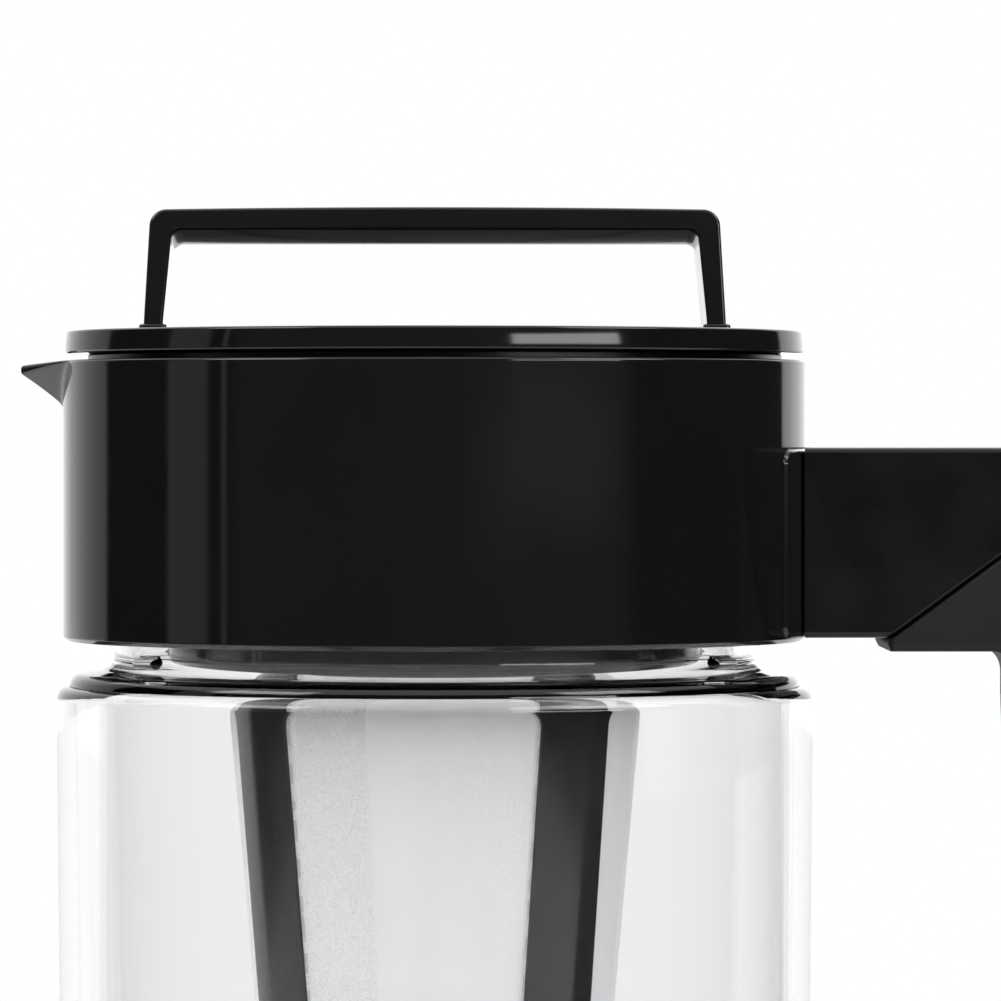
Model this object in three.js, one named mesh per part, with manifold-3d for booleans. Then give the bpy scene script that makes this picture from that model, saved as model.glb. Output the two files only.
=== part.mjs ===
// Cold brew coffee maker: clear pitcher, black collar with handle, stopper lid and hanging infuser.
// Millimetres, +Z up. The origin is the centre of the pitcher's underside.
// +X points to the handle, -X to the spout, and -Y is the side that is seen in the photograph.
import * as THREE from "three";
import { ConvexGeometry } from "three/addons/geometries/ConvexGeometry.js";
import { mergeVertices } from "three/addons/utils/BufferGeometryUtils.js";
import Module from "manifold-3d";

const wasm = await Module();
wasm.setup();

// Clearances and counts shared by all pieces
const fitGap = 0.3;
const overrun = 2;
const roundSteps = 48;
const smallRoundSteps = 16;
const cornerSteps = 3;
const halfTurn = Math.PI;
const quarterTurn = halfTurn / 2;

// Pitcher body
const bodyProud = 0.9;
const bodyDraft = 1.2;
const bodyWall = 2.6;
const baseCornerRadius = 6;
const baseThickness = 4;
const shoulderCornerRadius = 1.8;
const shoulderStepRadius = 1.8;
const shoulderSlopeRise = 0.4;
const shoulderInnerCorner = 1;
const neckFilletRadius = 2.3;

// Pitcher neck
const neckWall = 2.4;
const neckRimBelowCollarTop = 11.5;
const beadProud = 1.3;
const beadHeight = 3.4;
const lugAngles = [60, 120, 240, 300].map(THREE.MathUtils.degToRad);
const lugWidth = 6.4;
const lugHeight = 1.5;
const lugProud = 1.5;

// Collar: outer shell
const collarAboveShoulder = 4.1;
const collarHeight = 38.85;
const collarRadius = 51.8;
const collarWall = 2.1;
const collarTopChamfer = 0.45;
const collarLipHeight = 0.65;
const snapRibUp = 3.9;
const snapRibHeight = 2.5;

// Collar: pad that carries the handle
const padProud = 0.5;
const padWidth = 41;
const padHeight = 26;
const padCornerRadius = 2;
const padAboveCollarBottom = 0.5;

// Collar: spout
const spoutReach = 5.9;
const spoutHalfWidth = 11.5;
const spoutDepth = 6.2;
const spoutTipDrop = 0.65;
const spoutTipHeight = 0.5;
const spoutWall = 1.6;

// Collar: inner liner
const linerSkirtWall = 4.4;
const linerLipThickness = 1.8;
const linerTubeWall = 1.8;
const linerWindowWidth = 22;
const channelWallThickness = 1.6;

// Seals
const neckSealThickness = 1.2;
const coverSealThickness = 1.2;
const coverSealPlay = 0.25;
const plugSealHeight = 4;
const plugSealThickness = 2.5;
const plugSealBelowRim = 4.35;
const infuserSealThickness = 1.4;

// Lid cover
const lidGap = 0.95;
const lidInset = 0.3;
const lidThickness = 3.15;
const lidEdgeChamfer = 0.4;
const lidRimWidth = 17.5;
const lidDishDepth = 0.6;
const spigotRingWall = 2.4;
const spigotRingHeight = 3;

// Bail
const bailHeight = 17.05;
const bailDepth = 20;
const bailInset = 11.3;
const bailTaper = 0.8;
const bailLegThicknessFoot = 2.6;
const bailLegThicknessTop = 3;
const bailBarThickness = 3.1;
const bailBarExtraAtBack = 1.5;
const bailCrown = 0.3;
const bailOuterCorner = 2.4;
const bailInnerCorner = 1.5;
const bailFootHeight = 0.6;
const bailFootProud = 0.6;

// Stopper drum under the lid
const drumReach = 32;
const drumWall = 2;
const drumRelief = 0.7;
const drumFlangeThickness = 1.8;
const drumFlangeInset = 1.4;
const drumFloorThickness = 2.2;
const drumCorner = 1.2;
const portWidth = 20;
const strainerSlotWidth = 2.4;
const strainerSlotHeight = 6.5;
const strainerSlotPitch = 4.6;
const strainerSlotCount = 5;

// Thread between drum and infuser
const threadLead = 24;
const threadStarts = 4;
const threadSweep = THREE.MathUtils.degToRad(40);
const threadSteps = 5;
const threadRidgeHeight = 1.6;
const threadRidgeProud = 1.2;
const threadPlay = 0.5;
const threadTipShare = 0.6;
const spigotWall = 2.2;
const spigotLength = 12;
const spigotRidgeUp = 3;

// Infuser
const infuserAboveFloor = 18.6;
const infuserTopRadius = 29.25;
const infuserFootRadius = 19.7;
const infuserRingHeight = 15.6;
const infuserRingWall = 2.4;
const gripRingProud = 7.75;
const gripRingUp = 1.9;
const infuserWindowHeight = 107;
const infuserBaseHeight = 12;
const infuserBaseCorner = 3;
const infuserBaseThickness = 2.2;
const ribWidth = 12.2;
const ribThickness = 1.8;
const ribAngles = [-147, -48, 41, 124].map(THREE.MathUtils.degToRad);
const meshRecess = 0.6;
const meshThickness = 0.6;

// Handle arm
const armHalfWidth = 13.6;
const armHeight = 26.2;
const armAboveCollarBottom = 0.6;
const armEdgeRadius = 0.9;
const armWall = 2.6;
const handleProud = 45.5;
const handleTopCorner = 6;
const diagonalFromCollar = 11;
const diagonalAngle = THREE.MathUtils.degToRad(36.3);

// Rubber sleeve and the grip inside it
const gripThickness = 18.3;
const gripInset = 1.2;
const gripEdgeRadius = 5.5;
const gripFootHeight = 60;
const gripFootCorner = 7;
const gripInnerFillet = 3;
const sleeveProudBelow = 1.9;
const sleeveProudSide = 0.4;
const sleeveEdgeRadius = 1.2;
const sleeveWall = 2.6;
const sleeveFloor = 4.2;

// Handle screws
const screwRadius = 1.5;
const screwHeadRadius = 3.2;
const screwHeadHeight = 2.1;
const screwLength = 13;
const screwSocketRadius = 1.2;
const screwSocketDepth = 1.2;
const screwBossRadius = 3.8;
const screwSpacing = 9;
const screwAboveRib = 0.8;
const screwPocketHalfWidth = 4.4;

// Heights, from the floor of the pitcher up: the infuser's length sets how tall the pitcher is
const infuserBottom = baseThickness + infuserAboveFloor;
const windowBottom = infuserBottom + infuserBaseHeight;
const windowTop = windowBottom + infuserWindowHeight;
const infuserTop = windowTop + infuserRingHeight;
const infuserSealBottom = infuserTop + fitGap;
const drumBottom = infuserSealBottom + infuserSealThickness + fitGap;
const drumFloorTop = drumBottom + drumFloorThickness;
const spigotBottom = drumBottom - spigotLength;
const drumTop = drumBottom + drumReach;
const lidBottom = drumTop + fitGap;
const lidTop = lidBottom + lidThickness;
const collarTop = lidBottom - lidGap;
const collarBottom = collarTop - collarHeight;
const shoulderTop = collarBottom - collarAboveShoulder;
const bodyStraightTop = shoulderTop - shoulderSlopeRise - shoulderStepRadius - shoulderCornerRadius;
const neckTop = collarTop - neckRimBelowCollarTop;
const snapRibBottom = collarBottom + snapRibUp;
const snapRibTop = snapRibBottom + snapRibHeight;
const beadBottom = snapRibTop + fitGap;
const beadTop = beadBottom + beadHeight;
const neckSealBottom = neckTop + fitGap;
const linerLipBottom = neckSealBottom + neckSealThickness + fitGap;
const linerLipTop = linerLipBottom + linerLipThickness;
const coverSealBottom = drumTop - drumFlangeThickness - coverSealPlay - coverSealThickness;
const linerTubeTop = coverSealBottom - fitGap;
const drumSealBottom = neckTop - plugSealBelowRim - plugSealHeight;
const armBottom = collarBottom + armAboveCollarBottom;
const armTop = armBottom + armHeight;
const sleeveBottom = armBottom - sleeveProudBelow;
const screwHeights = [0, screwSpacing].map((rise) => snapRibTop + screwHeadRadius + screwAboveRib + rise);

// Radii and widths, from the collar in to the infuser and out to the handle
const bodyRadius = collarRadius + bodyProud;
const collarInner = collarRadius - collarWall;
const linerOuter = collarInner - fitGap;
const neckRadius = linerOuter - linerSkirtWall - fitGap;
const boreRadius = neckRadius - neckWall;
const linerTubeOuter = boreRadius + linerTubeWall;
const lidRadius = collarRadius - lidInset;
const lidDishRadius = lidRadius - lidRimWidth;
const bailHalfWidthFoot = lidRadius - bailInset;
const bailHalfWidthTop = bailHalfWidthFoot - bailTaper;
const drumRadius = boreRadius - fitGap;
const drumInner = drumRadius - drumRelief - drumWall;
const drumFlangeRadius = collarInner - drumFlangeInset;
const plugSealInner = drumRadius - plugSealThickness;
const threadBore = infuserTopRadius - infuserRingWall;
const spigotRadius = threadBore - threadRidgeProud - threadPlay;
const spigotInner = spigotRadius - spigotWall;
const handleReach = collarRadius + handleProud;
const diagonalStart = collarRadius + diagonalFromCollar;
const gripInner = handleReach - gripThickness;
const sleeveHalfWidth = armHalfWidth + sleeveProudSide;
const gripHalfWidth = sleeveHalfWidth - gripInset;

// Finishes
const clearPlastic = new THREE.MeshStandardMaterial({
  color: "#f2f2f4", roughness: 0.05, metalness: 0, transparent: true, opacity: 0.3,
});
const glossBlack = new THREE.MeshStandardMaterial({ color: "#0c0c0e", roughness: 0.12, metalness: 0 });
const satinBlack = new THREE.MeshStandardMaterial({ color: "#191919", roughness: 0.42, metalness: 0 });
const blackRubber = new THREE.MeshStandardMaterial({ color: "#262626", roughness: 0.7, metalness: 0 });
const greySilicone = new THREE.MeshStandardMaterial({ color: "#3a3a3c", roughness: 0.6, metalness: 0 });
const fineMesh = new THREE.MeshStandardMaterial({ color: "#d9d9dc", roughness: 0.6, metalness: 0 });
const steel = new THREE.MeshStandardMaterial({ color: "#a8a8aa", roughness: 0.3, metalness: 1 });

// Turns a three.js geometry into a solid with its faces pointing out
function solid(geometry) {
  geometry.deleteAttribute("normal");
  geometry.deleteAttribute("uv");
  const merged = mergeVertices(geometry);
  const place = merged.attributes.position;
  const corners = [];
  for (let i = 0; i < merged.index.count; i += 3) {
    const [a, b, c] = [0, 1, 2].map((k) => merged.index.getX(i + k));
    if (a !== b && b !== c && c !== a) corners.push([a, b, c]);
  }
  const at = (i) => new THREE.Vector3().fromBufferAttribute(place, i);
  const volume = corners.reduce((sum, [a, b, c]) => sum + at(a).dot(at(b).cross(at(c))), 0);
  const faces = volume < 0 ? corners.map(([a, b, c]) => [a, c, b]) : corners;
  const vertProperties = new Float32Array(place.array);
  const triVerts = new Uint32Array(faces.flat());
  return new wasm.Manifold(new wasm.Mesh({ numProp: 3, vertProperties, triVerts }));
}

// Adds a named piece to a group
function addPiece(group, name, shape, material) {
  const { vertProperties, triVerts } = shape.getMesh();
  const geometry = new THREE.BufferGeometry();
  geometry.setAttribute("position", new THREE.BufferAttribute(new Float32Array(vertProperties), 3));
  geometry.setIndex(new THREE.BufferAttribute(new Uint32Array(triVerts), 1));
  geometry.computeVertexNormals();
  const mesh = new THREE.Mesh(geometry, material);
  mesh.name = name;
  group.add(mesh);
  return mesh;
}

const joined = (shapes) => shapes.reduce((all, shape) => all.add(shape));
const range = (count) => Array.from({ length: count }, (_, i) => i);

// Points of a round stretch, from one angle to another
function arc(centreA, centreB, radius, from, to, steps = cornerSteps) {
  return range(steps + 1).map((i) => {
    const angle = from + ((to - from) * i) / steps;
    return [centreA + radius * Math.cos(angle), centreB + radius * Math.sin(angle)];
  });
}

// Outline of a rectangle with rounded corners
function roundedBox(lowA, lowB, highA, highB, radius) {
  return [
    ...arc(highA - radius, highB - radius, radius, 0, quarterTurn),
    ...arc(lowA + radius, highB - radius, radius, quarterTurn, halfTurn),
    ...arc(lowA + radius, lowB + radius, radius, halfTurn, 3 * quarterTurn),
    ...arc(highA - radius, lowB + radius, radius, 3 * quarterTurn, 2 * halfTurn),
  ];
}

const boxOutline = (lowA, lowB, highA, highB) => [[lowA, lowB], [highA, lowB], [highA, highB], [lowA, highB]];
const shapeOf = (outline) => new THREE.Shape(outline.map(([a, b]) => new THREE.Vector2(a, b)));

// Solid of revolution about +Z from a closed profile of radius and height
function turned(profile, steps = roundSteps) {
  const loop = [...profile, profile[0]].map(([radius, height]) => new THREE.Vector2(radius, height));
  return solid(new THREE.LatheGeometry(loop, steps).rotateX(quarterTurn));
}

// Outline in one plane, drawn out along the axis square to it
function drawn(outline, from, to, axisA, axisB, axisOut) {
  const geometry = new THREE.ExtrudeGeometry(shapeOf(outline), { depth: to - from, bevelEnabled: false });
  geometry.translate(0, 0, from);
  return solid(geometry.applyMatrix4(new THREE.Matrix4().makeBasis(axisA, axisB, axisOut)));
}

const alongX = new THREE.Vector3(1, 0, 0);
const alongY = new THREE.Vector3(0, 1, 0);
const alongZ = new THREE.Vector3(0, 0, 1);
const drawnAlongX = (outlineYZ, from, to) => drawn(outlineYZ, from, to, alongY, alongZ, alongX);
const drawnAlongY = (outlineXZ, from, to) => drawn(outlineXZ, from, to, alongX, alongZ, alongY);
const drawnAlongZ = (outlineXY, from, to) => drawn(outlineXY, from, to, alongX, alongY, alongZ);
const wrapped = (points) => solid(new ConvexGeometry(points.map((point) => new THREE.Vector3(...point))));
const rodAlongX = (radius, from, to, height) =>
  drawnAlongX(arc(0, height, radius, 0, 2 * halfTurn, smallRoundSteps).slice(1), from, to);

// Bar that points away from the axis at one angle, with its width across
function spoke(angle, halfWidth, from, to, bottom, top) {
  const geometry = new THREE.BoxGeometry(to - from, 2 * halfWidth, top - bottom);
  geometry.translate((from + to) / 2, 0, (bottom + top) / 2);
  return solid(geometry.rotateZ(angle));
}

// Short ridges of a screw thread, spread evenly round the axis
function threadRidges(rootRadius, tipRadius, height) {
  const tipHalf = (threadRidgeHeight * threadTipShare) / 2;
  const section = shapeOf([
    [rootRadius, height - threadRidgeHeight / 2],
    [tipRadius, height - tipHalf],
    [tipRadius, height + tipHalf],
    [rootRadius, height + threadRidgeHeight / 2],
  ]);
  return joined(range(threadStarts).map((start) => {
    const settings = { depth: threadSweep, steps: threadSteps, bevelEnabled: false };
    const ridge = new THREE.ExtrudeGeometry(section, settings);
    const place = ridge.attributes.position;
    for (let i = 0; i < place.count; i += 1) {
      const turn = place.getZ(i) - threadSweep / 2;
      const angle = turn + (2 * halfTurn * start) / threadStarts;
      const rise = (threadLead * turn) / (2 * halfTurn);
      const radius = place.getX(i);
      place.setXYZ(i, radius * Math.cos(angle), radius * Math.sin(angle), place.getY(i) + rise);
    }
    return solid(ridge);
  }));
}

// Clear pitcher, with its shoulder, its neck, a bead that the collar snaps over, and four lugs
function pitcherBody() {
  const baseRadius = bodyRadius - bodyDraft;
  const stepRadius = bodyRadius - shoulderCornerRadius;
  const cornerTop = bodyStraightTop + shoulderCornerRadius;
  const stepTop = cornerTop + shoulderStepRadius;
  const innerTop = stepTop - bodyWall;
  const innerCorner = baseCornerRadius - bodyWall;
  const outside = [
    [0, 0],
    ...arc(baseRadius - baseCornerRadius, baseCornerRadius, baseCornerRadius,
      -quarterTurn, 0, 2 * cornerSteps),
    ...arc(stepRadius, bodyStraightTop, shoulderCornerRadius, 0, quarterTurn),
    ...arc(stepRadius - shoulderStepRadius, cornerTop, shoulderStepRadius, 0, quarterTurn),
    [neckRadius + neckFilletRadius, stepTop + shoulderSlopeRise],
    ...arc(neckRadius + neckFilletRadius, shoulderTop + neckFilletRadius, neckFilletRadius,
      3 * quarterTurn, halfTurn).slice(1),
    [neckRadius, beadBottom],
    [neckRadius + beadProud, beadBottom],
    [neckRadius, beadTop],
    [neckRadius, neckTop],
  ];
  const inside = [
    [boreRadius, neckTop],
    [boreRadius, stepTop],
    [boreRadius + bodyWall / 2, innerTop],
    ...arc(bodyRadius - bodyWall - shoulderInnerCorner, innerTop - shoulderInnerCorner, shoulderInnerCorner,
      quarterTurn, 0),
    ...arc(baseRadius - bodyWall - innerCorner, baseThickness + innerCorner, innerCorner, 0, -quarterTurn),
    [0, baseThickness],
  ];
  const lugBottom = shoulderTop + lugHeight / 2;
  const lugOutline = boxOutline(
    neckRadius - neckWall / 2, lugBottom, neckRadius + lugProud, lugBottom + lugHeight);
  const lugRing = turned(lugOutline);
  const lugs = lugAngles.map((angle) =>
    spoke(angle - quarterTurn, lugWidth / 2, boreRadius, collarRadius, lugBottom - overrun, collarBottom)
      .intersect(lugRing));
  return joined([turned([...outside, ...inside]), ...lugs]);
}

// Solid outside of the spout, and the channel that is cut in it
function spoutBeak() {
  const tip = -collarRadius - spoutReach;
  const tipTop = collarTop - spoutTipDrop;
  const root = -Math.sqrt(collarRadius ** 2 - spoutHalfWidth ** 2);
  const insideRoot = root + collarWall / 2;
  return wrapped([
    [tip, 0, tipTop], [tip, 0, tipTop - spoutTipHeight],
    [root, spoutHalfWidth, collarTop], [root, -spoutHalfWidth, collarTop],
    [insideRoot, spoutHalfWidth, collarTop], [insideRoot, -spoutHalfWidth, collarTop],
    [-collarRadius, 0, collarTop - spoutDepth], [insideRoot, 0, collarTop - spoutDepth],
  ]);
}

function spoutChannel() {
  const tip = -collarRadius - spoutReach + spoutWall;
  const back = -collarInner + collarWall;
  const halfWidth = spoutHalfWidth - spoutWall;
  const top = collarTop + overrun;
  const channelBottom = collarTop - spoutDepth + spoutWall;
  return wrapped([
    [tip, 0, collarTop - spoutTipDrop - spoutTipHeight], [tip, 0, top],
    [-collarInner, halfWidth, collarTop], [-collarInner, -halfWidth, collarTop],
    [-collarInner, halfWidth, top], [-collarInner, -halfWidth, top],
    [back, halfWidth, collarTop], [back, -halfWidth, collarTop],
    [back, halfWidth, top], [back, -halfWidth, top],
    [-collarInner, 0, channelBottom], [back, 0, channelBottom],
  ]);
}

// Glossy outer collar with its snap rib, spout and handle pad
function collarShell() {
  const wall = turned([
    [collarInner, collarBottom],
    [collarRadius - collarLipHeight, collarBottom],
    [collarRadius, collarBottom + collarLipHeight],
    [collarRadius, collarTop - collarTopChamfer],
    [collarRadius - collarTopChamfer, collarTop],
    [collarInner, collarTop],
    [collarInner, snapRibTop],
    [neckRadius + fitGap, snapRibTop],
    [neckRadius + fitGap, snapRibBottom],
    [collarInner, snapRibBottom],
  ]);
  const padBottom = collarBottom + padAboveCollarBottom;
  const padOutline = roundedBox(
    -padWidth / 2, padBottom, padWidth / 2, padBottom + padHeight, padCornerRadius);
  const padSection = boxOutline(
    collarRadius - collarWall / 2, collarBottom, collarRadius + padProud, collarTop);
  const pad = turned(padSection).intersect(drawnAlongX(padOutline, 0, handleReach));
  const holes = screwHeights.map((height) =>
    rodAlongX(screwRadius + fitGap, boreRadius, handleReach, height));
  return joined([wall, pad, spoutBeak()]).subtract(joined([spoutChannel(), ...holes]));
}

// Liner inside the collar: it holds the neck seal down and has the window that leads to the spout
function collarLiner() {
  const ring = turned([
    [neckRadius + fitGap, beadTop + fitGap],
    [linerOuter, beadTop + fitGap],
    [linerOuter, linerLipTop],
    [linerTubeOuter, linerLipTop],
    [linerTubeOuter, linerTubeTop],
    [boreRadius, linerTubeTop],
    [boreRadius, linerLipBottom],
    [neckRadius + fitGap, linerLipBottom],
  ]);
  const wallInner = linerWindowWidth / 2;
  const wallOuter = wallInner + channelWallThickness;
  const wallStart = linerTubeOuter - linerTubeWall / 2;
  const wallEnd = Math.sqrt(linerOuter ** 2 - wallOuter ** 2);
  const wallRoot = Math.sqrt(wallStart ** 2 - wallOuter ** 2);
  const wallOutline = boxOutline(-wallEnd, linerLipTop - linerLipThickness / 2, -wallRoot, linerTubeTop);
  const channelWalls = [
    drawnAlongY(wallOutline, wallInner, wallOuter),
    drawnAlongY(wallOutline, -wallOuter, -wallInner),
  ];
  const windowOutline = boxOutline(-wallInner, linerLipTop, wallInner, linerTubeTop + overrun);
  const window = drawnAlongX(windowOutline, -linerOuter, -boreRadius / 2);
  const pocketTop = screwHeights[1] + screwHeadRadius + fitGap;
  const pocketOutline = boxOutline(-screwPocketHalfWidth, beadTop, screwPocketHalfWidth, pocketTop);
  const pocket = drawnAlongX(pocketOutline, linerOuter - screwHeadHeight - 2 * fitGap, collarRadius);
  return joined([ring, ...channelWalls]).subtract(joined([window, pocket]));
}

const sealRing = (inner, outer, thickness) => turned(boxOutline(inner, 0, outer, thickness));

// All that lies above the slanted line where the rubber starts, or below it for side -1, less a margin
function slantedHalf(side, margin) {
  const shift = (side * margin) / Math.cos(diagonalAngle);
  const reach = handleReach + overrun;
  const heightAt = (x) => armBottom + (x - diagonalStart) * Math.tan(diagonalAngle) + shift;
  const farSide = side > 0 ? heightAt(reach) + overrun : 0;
  const outline = [[0, heightAt(0)], [reach, heightAt(reach)], [reach, farSide], [0, farSide]];
  return drawnAlongY(outline, -collarRadius, collarRadius);
}

// Part of the handle that lies inside the rubber, grown by a clearance for the hollow round it
function gripCore(grow) {
  const inner = gripInner + sleeveWall + fitGap - grow;
  const outer = handleReach - sleeveWall - fitGap + grow;
  const bottom = sleeveBottom + sleeveWall + fitGap - grow;
  const foot = gripFootHeight + sleeveFloor + fitGap - grow;
  const neckStart = diagonalStart - sleeveWall;
  const topEnd = armTop - armWall / 2;
  const elbow = drawnAlongY([
    [neckStart, bottom], [inner, bottom], [inner, bottom - sleeveWall], [outer, bottom - sleeveWall],
    [outer, topEnd], [neckStart, topEnd],
  ], -sleeveHalfWidth + sleeveWall + fitGap - grow, sleeveHalfWidth - sleeveWall - fitGap + grow)
    .intersect(slantedHalf(-1, -armWall / 2));
  const halfWidth = gripHalfWidth - sleeveWall - fitGap + grow;
  const grip = drawnAlongZ(
    roundedBox(inner, -halfWidth, outer, halfWidth, gripEdgeRadius - sleeveWall), foot, bottom + sleeveWall);
  return elbow.add(grip);
}

// Handle arm and the grip's core, in one moulding, with two screw bosses in the hollow arm
function handleFrame() {
  const section = roundedBox(-armHalfWidth, armBottom, armHalfWidth, armTop, armEdgeRadius);
  const corner = handleTopCorner;
  const side = drawnAlongY([
    [0, armBottom], [handleReach, armBottom],
    ...arc(handleReach - corner, armTop - corner, corner, 0, quarterTurn, 2 * cornerSteps),
    [0, armTop],
  ], -sleeveHalfWidth, sleeveHalfWidth);
  const saddle = turned(boxOutline(0, 0, collarRadius + padProud + fitGap, collarTop + overrun).slice(1)
    .concat([[0, 0]]));
  const hollowEnd = handleReach - sleeveWall - 2 * armWall;
  const hollowOutline = boxOutline(0, armBottom + armWall, hollowEnd, armTop - armWall);
  const hollow = drawnAlongY(hollowOutline, -armHalfWidth + armWall, armHalfWidth - armWall)
    .intersect(slantedHalf(1, armWall));
  const bosses = screwHeights.map((height) => {
    const slantStart = diagonalStart + (height - armBottom) / Math.tan(diagonalAngle);
    const end = slantStart - armWall / Math.sin(diagonalAngle) + armWall;
    return rodAlongX(screwBossRadius, boreRadius, Math.min(end, hollowEnd + armWall), height);
  });
  const holeEnd = linerOuter + screwLength + fitGap;
  const holes = screwHeights.map((height) => rodAlongX(screwRadius + fitGap, 0, holeEnd, height));
  const arm = drawnAlongX(section, 0, handleReach).intersect(side).intersect(slantedHalf(1, fitGap / 2));
  return joined([arm, gripCore(0)]).subtract(hollow).add(joined(bosses).intersect(arm))
    .subtract(joined([saddle, ...holes]));
}

// Rubber sleeve over the corner of the handle and down the whole grip
function gripSleeve() {
  const corner = handleTopCorner;
  const elbowSide = drawnAlongY([
    [diagonalStart, sleeveBottom], [gripInner - gripInnerFillet, sleeveBottom],
    ...arc(gripInner - gripInnerFillet, sleeveBottom - gripInnerFillet, gripInnerFillet, quarterTurn, 0),
    [handleReach, sleeveBottom - gripInnerFillet],
    ...arc(handleReach - corner, armTop - corner, corner, 0, quarterTurn, 2 * cornerSteps),
    [diagonalStart - sleeveProudBelow / 2, armTop], [diagonalStart - sleeveProudBelow / 2, armBottom],
  ], -sleeveHalfWidth, sleeveHalfWidth);
  const sectionBottom = sleeveBottom - gripInnerFillet;
  const elbowSection = drawnAlongX(
    roundedBox(-sleeveHalfWidth, sectionBottom, sleeveHalfWidth, armTop, sleeveEdgeRadius), 0, handleReach);
  const elbow = elbowSide.intersect(elbowSection).intersect(slantedHalf(-1, fitGap / 2));
  const gripSection = roundedBox(gripInner, -gripHalfWidth, handleReach, gripHalfWidth, gripEdgeRadius);
  const gripSide = drawnAlongY([
    ...arc(gripInner + gripFootCorner, gripFootHeight + gripFootCorner, gripFootCorner,
      halfTurn, 3 * quarterTurn, 2 * cornerSteps),
    ...arc(handleReach - gripFootCorner, gripFootHeight + gripFootCorner, gripFootCorner,
      3 * quarterTurn, 2 * halfTurn, 2 * cornerSteps),
    [handleReach, sleeveBottom],
    [gripInner, sleeveBottom],
  ], -sleeveHalfWidth, sleeveHalfWidth);
  const grip = drawnAlongZ(gripSection, gripFootHeight, sleeveBottom).intersect(gripSide);
  return elbow.add(grip).subtract(gripCore(fitGap));
}

// Screw that holds the handle, along +X from the underside of its head
function handleScrew() {
  const profile = [
    [0, screwLength], [screwRadius, screwLength - screwRadius], [screwRadius, 0],
    [screwHeadRadius, 0], [screwHeadRadius, -screwHeadHeight / 2],
    [screwHeadRadius - screwHeadHeight / 2, -screwHeadHeight],
    [screwSocketRadius, -screwHeadHeight], [screwSocketRadius, -screwHeadHeight + screwSocketDepth],
    [0, -screwHeadHeight + screwSocketDepth],
  ];
  return turned(profile, smallRoundSteps);
}

// Lid disc with the ring that locates it in the drum, and slots for the bail's legs
function lidCover() {
  const ringOuter = drumInner - fitGap;
  const ringInner = ringOuter - spigotRingWall;
  const disc = turned([
    [0, lidBottom], [ringInner, lidBottom], [ringInner, lidBottom - spigotRingHeight],
    [ringOuter, lidBottom - spigotRingHeight], [ringOuter, lidBottom],
    [lidRadius - lidEdgeChamfer, lidBottom], [lidRadius, lidBottom + lidEdgeChamfer],
    [lidRadius, lidTop - lidEdgeChamfer], [lidRadius - lidEdgeChamfer, lidTop],
    [lidDishRadius, lidTop], [lidDishRadius - lidDishDepth, lidTop - lidDishDepth],
    [0, lidTop - lidDishDepth],
  ]);
  const slotOuter = bailHalfWidthFoot + fitGap;
  const slotInner = bailHalfWidthFoot - bailLegThicknessFoot - fitGap;
  const slotSide = boxOutline(slotInner, -bailDepth / 2 - fitGap, slotOuter, bailDepth / 2 + fitGap);
  const slots = [slotSide, slotSide.map(([x, y]) => [-x, y])].map((outline) =>
    drawnAlongZ(outline, lidBottom - overrun, lidTop + overrun));
  return disc.subtract(joined(slots));
}

// Bail: a wide flat strap whose bar is thicker towards the back, on two feet
function bailHandle() {
  const footTop = lidTop + fitGap + bailFootHeight;
  const top = lidTop + bailHeight;
  const crown = range(2 * cornerSteps + 1).map((i) => {
    const across = 1 - i / cornerSteps;
    return [across * (bailHalfWidthTop - bailOuterCorner), top - bailCrown * across ** 2];
  });
  const shoulder = top - bailCrown - bailOuterCorner;
  const outside = drawnAlongY([
    [-bailHalfWidthFoot, lidBottom + fitGap], [bailHalfWidthFoot, lidBottom + fitGap],
    [bailHalfWidthFoot, footTop],
    ...arc(bailHalfWidthTop - bailOuterCorner, shoulder, bailOuterCorner, 0, quarterTurn).slice(0, -1),
    ...crown,
    ...arc(bailOuterCorner - bailHalfWidthTop, shoulder, bailOuterCorner, quarterTurn, halfTurn).slice(1),
    [-bailHalfWidthFoot, footTop],
  ], -bailDepth / 2, bailDepth / 2);
  const innerFoot = bailHalfWidthFoot - bailLegThicknessFoot;
  const innerTop = bailHalfWidthTop - bailLegThicknessTop;
  const openingAt = (y, drop) => {
    const ceiling = top - bailBarThickness - drop;
    const outline = [
      [innerFoot, lidBottom - overrun], [innerFoot, footTop],
      ...arc(innerTop - bailInnerCorner, ceiling - bailInnerCorner, bailInnerCorner, 0, quarterTurn),
    ];
    return [...outline, ...outline.map(([x, z]) => [-x, z])].map(([x, z]) => [x, y, z]);
  };
  const opening = wrapped([...openingAt(-bailDepth / 2, 0), ...openingAt(bailDepth / 2, bailBarExtraAtBack)]);
  const feet = [-1, 1].map((side) => {
    const ends = [innerFoot - bailFootProud, bailHalfWidthFoot + bailFootProud].map((x) => x * side);
    const half = bailDepth / 2 + bailFootProud;
    const outline = boxOutline(Math.min(...ends), -half, Math.max(...ends), half);
    return drawnAlongZ(outline, lidTop + fitGap, footTop);
  });
  return joined([outside.subtract(opening), ...feet]);
}

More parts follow.
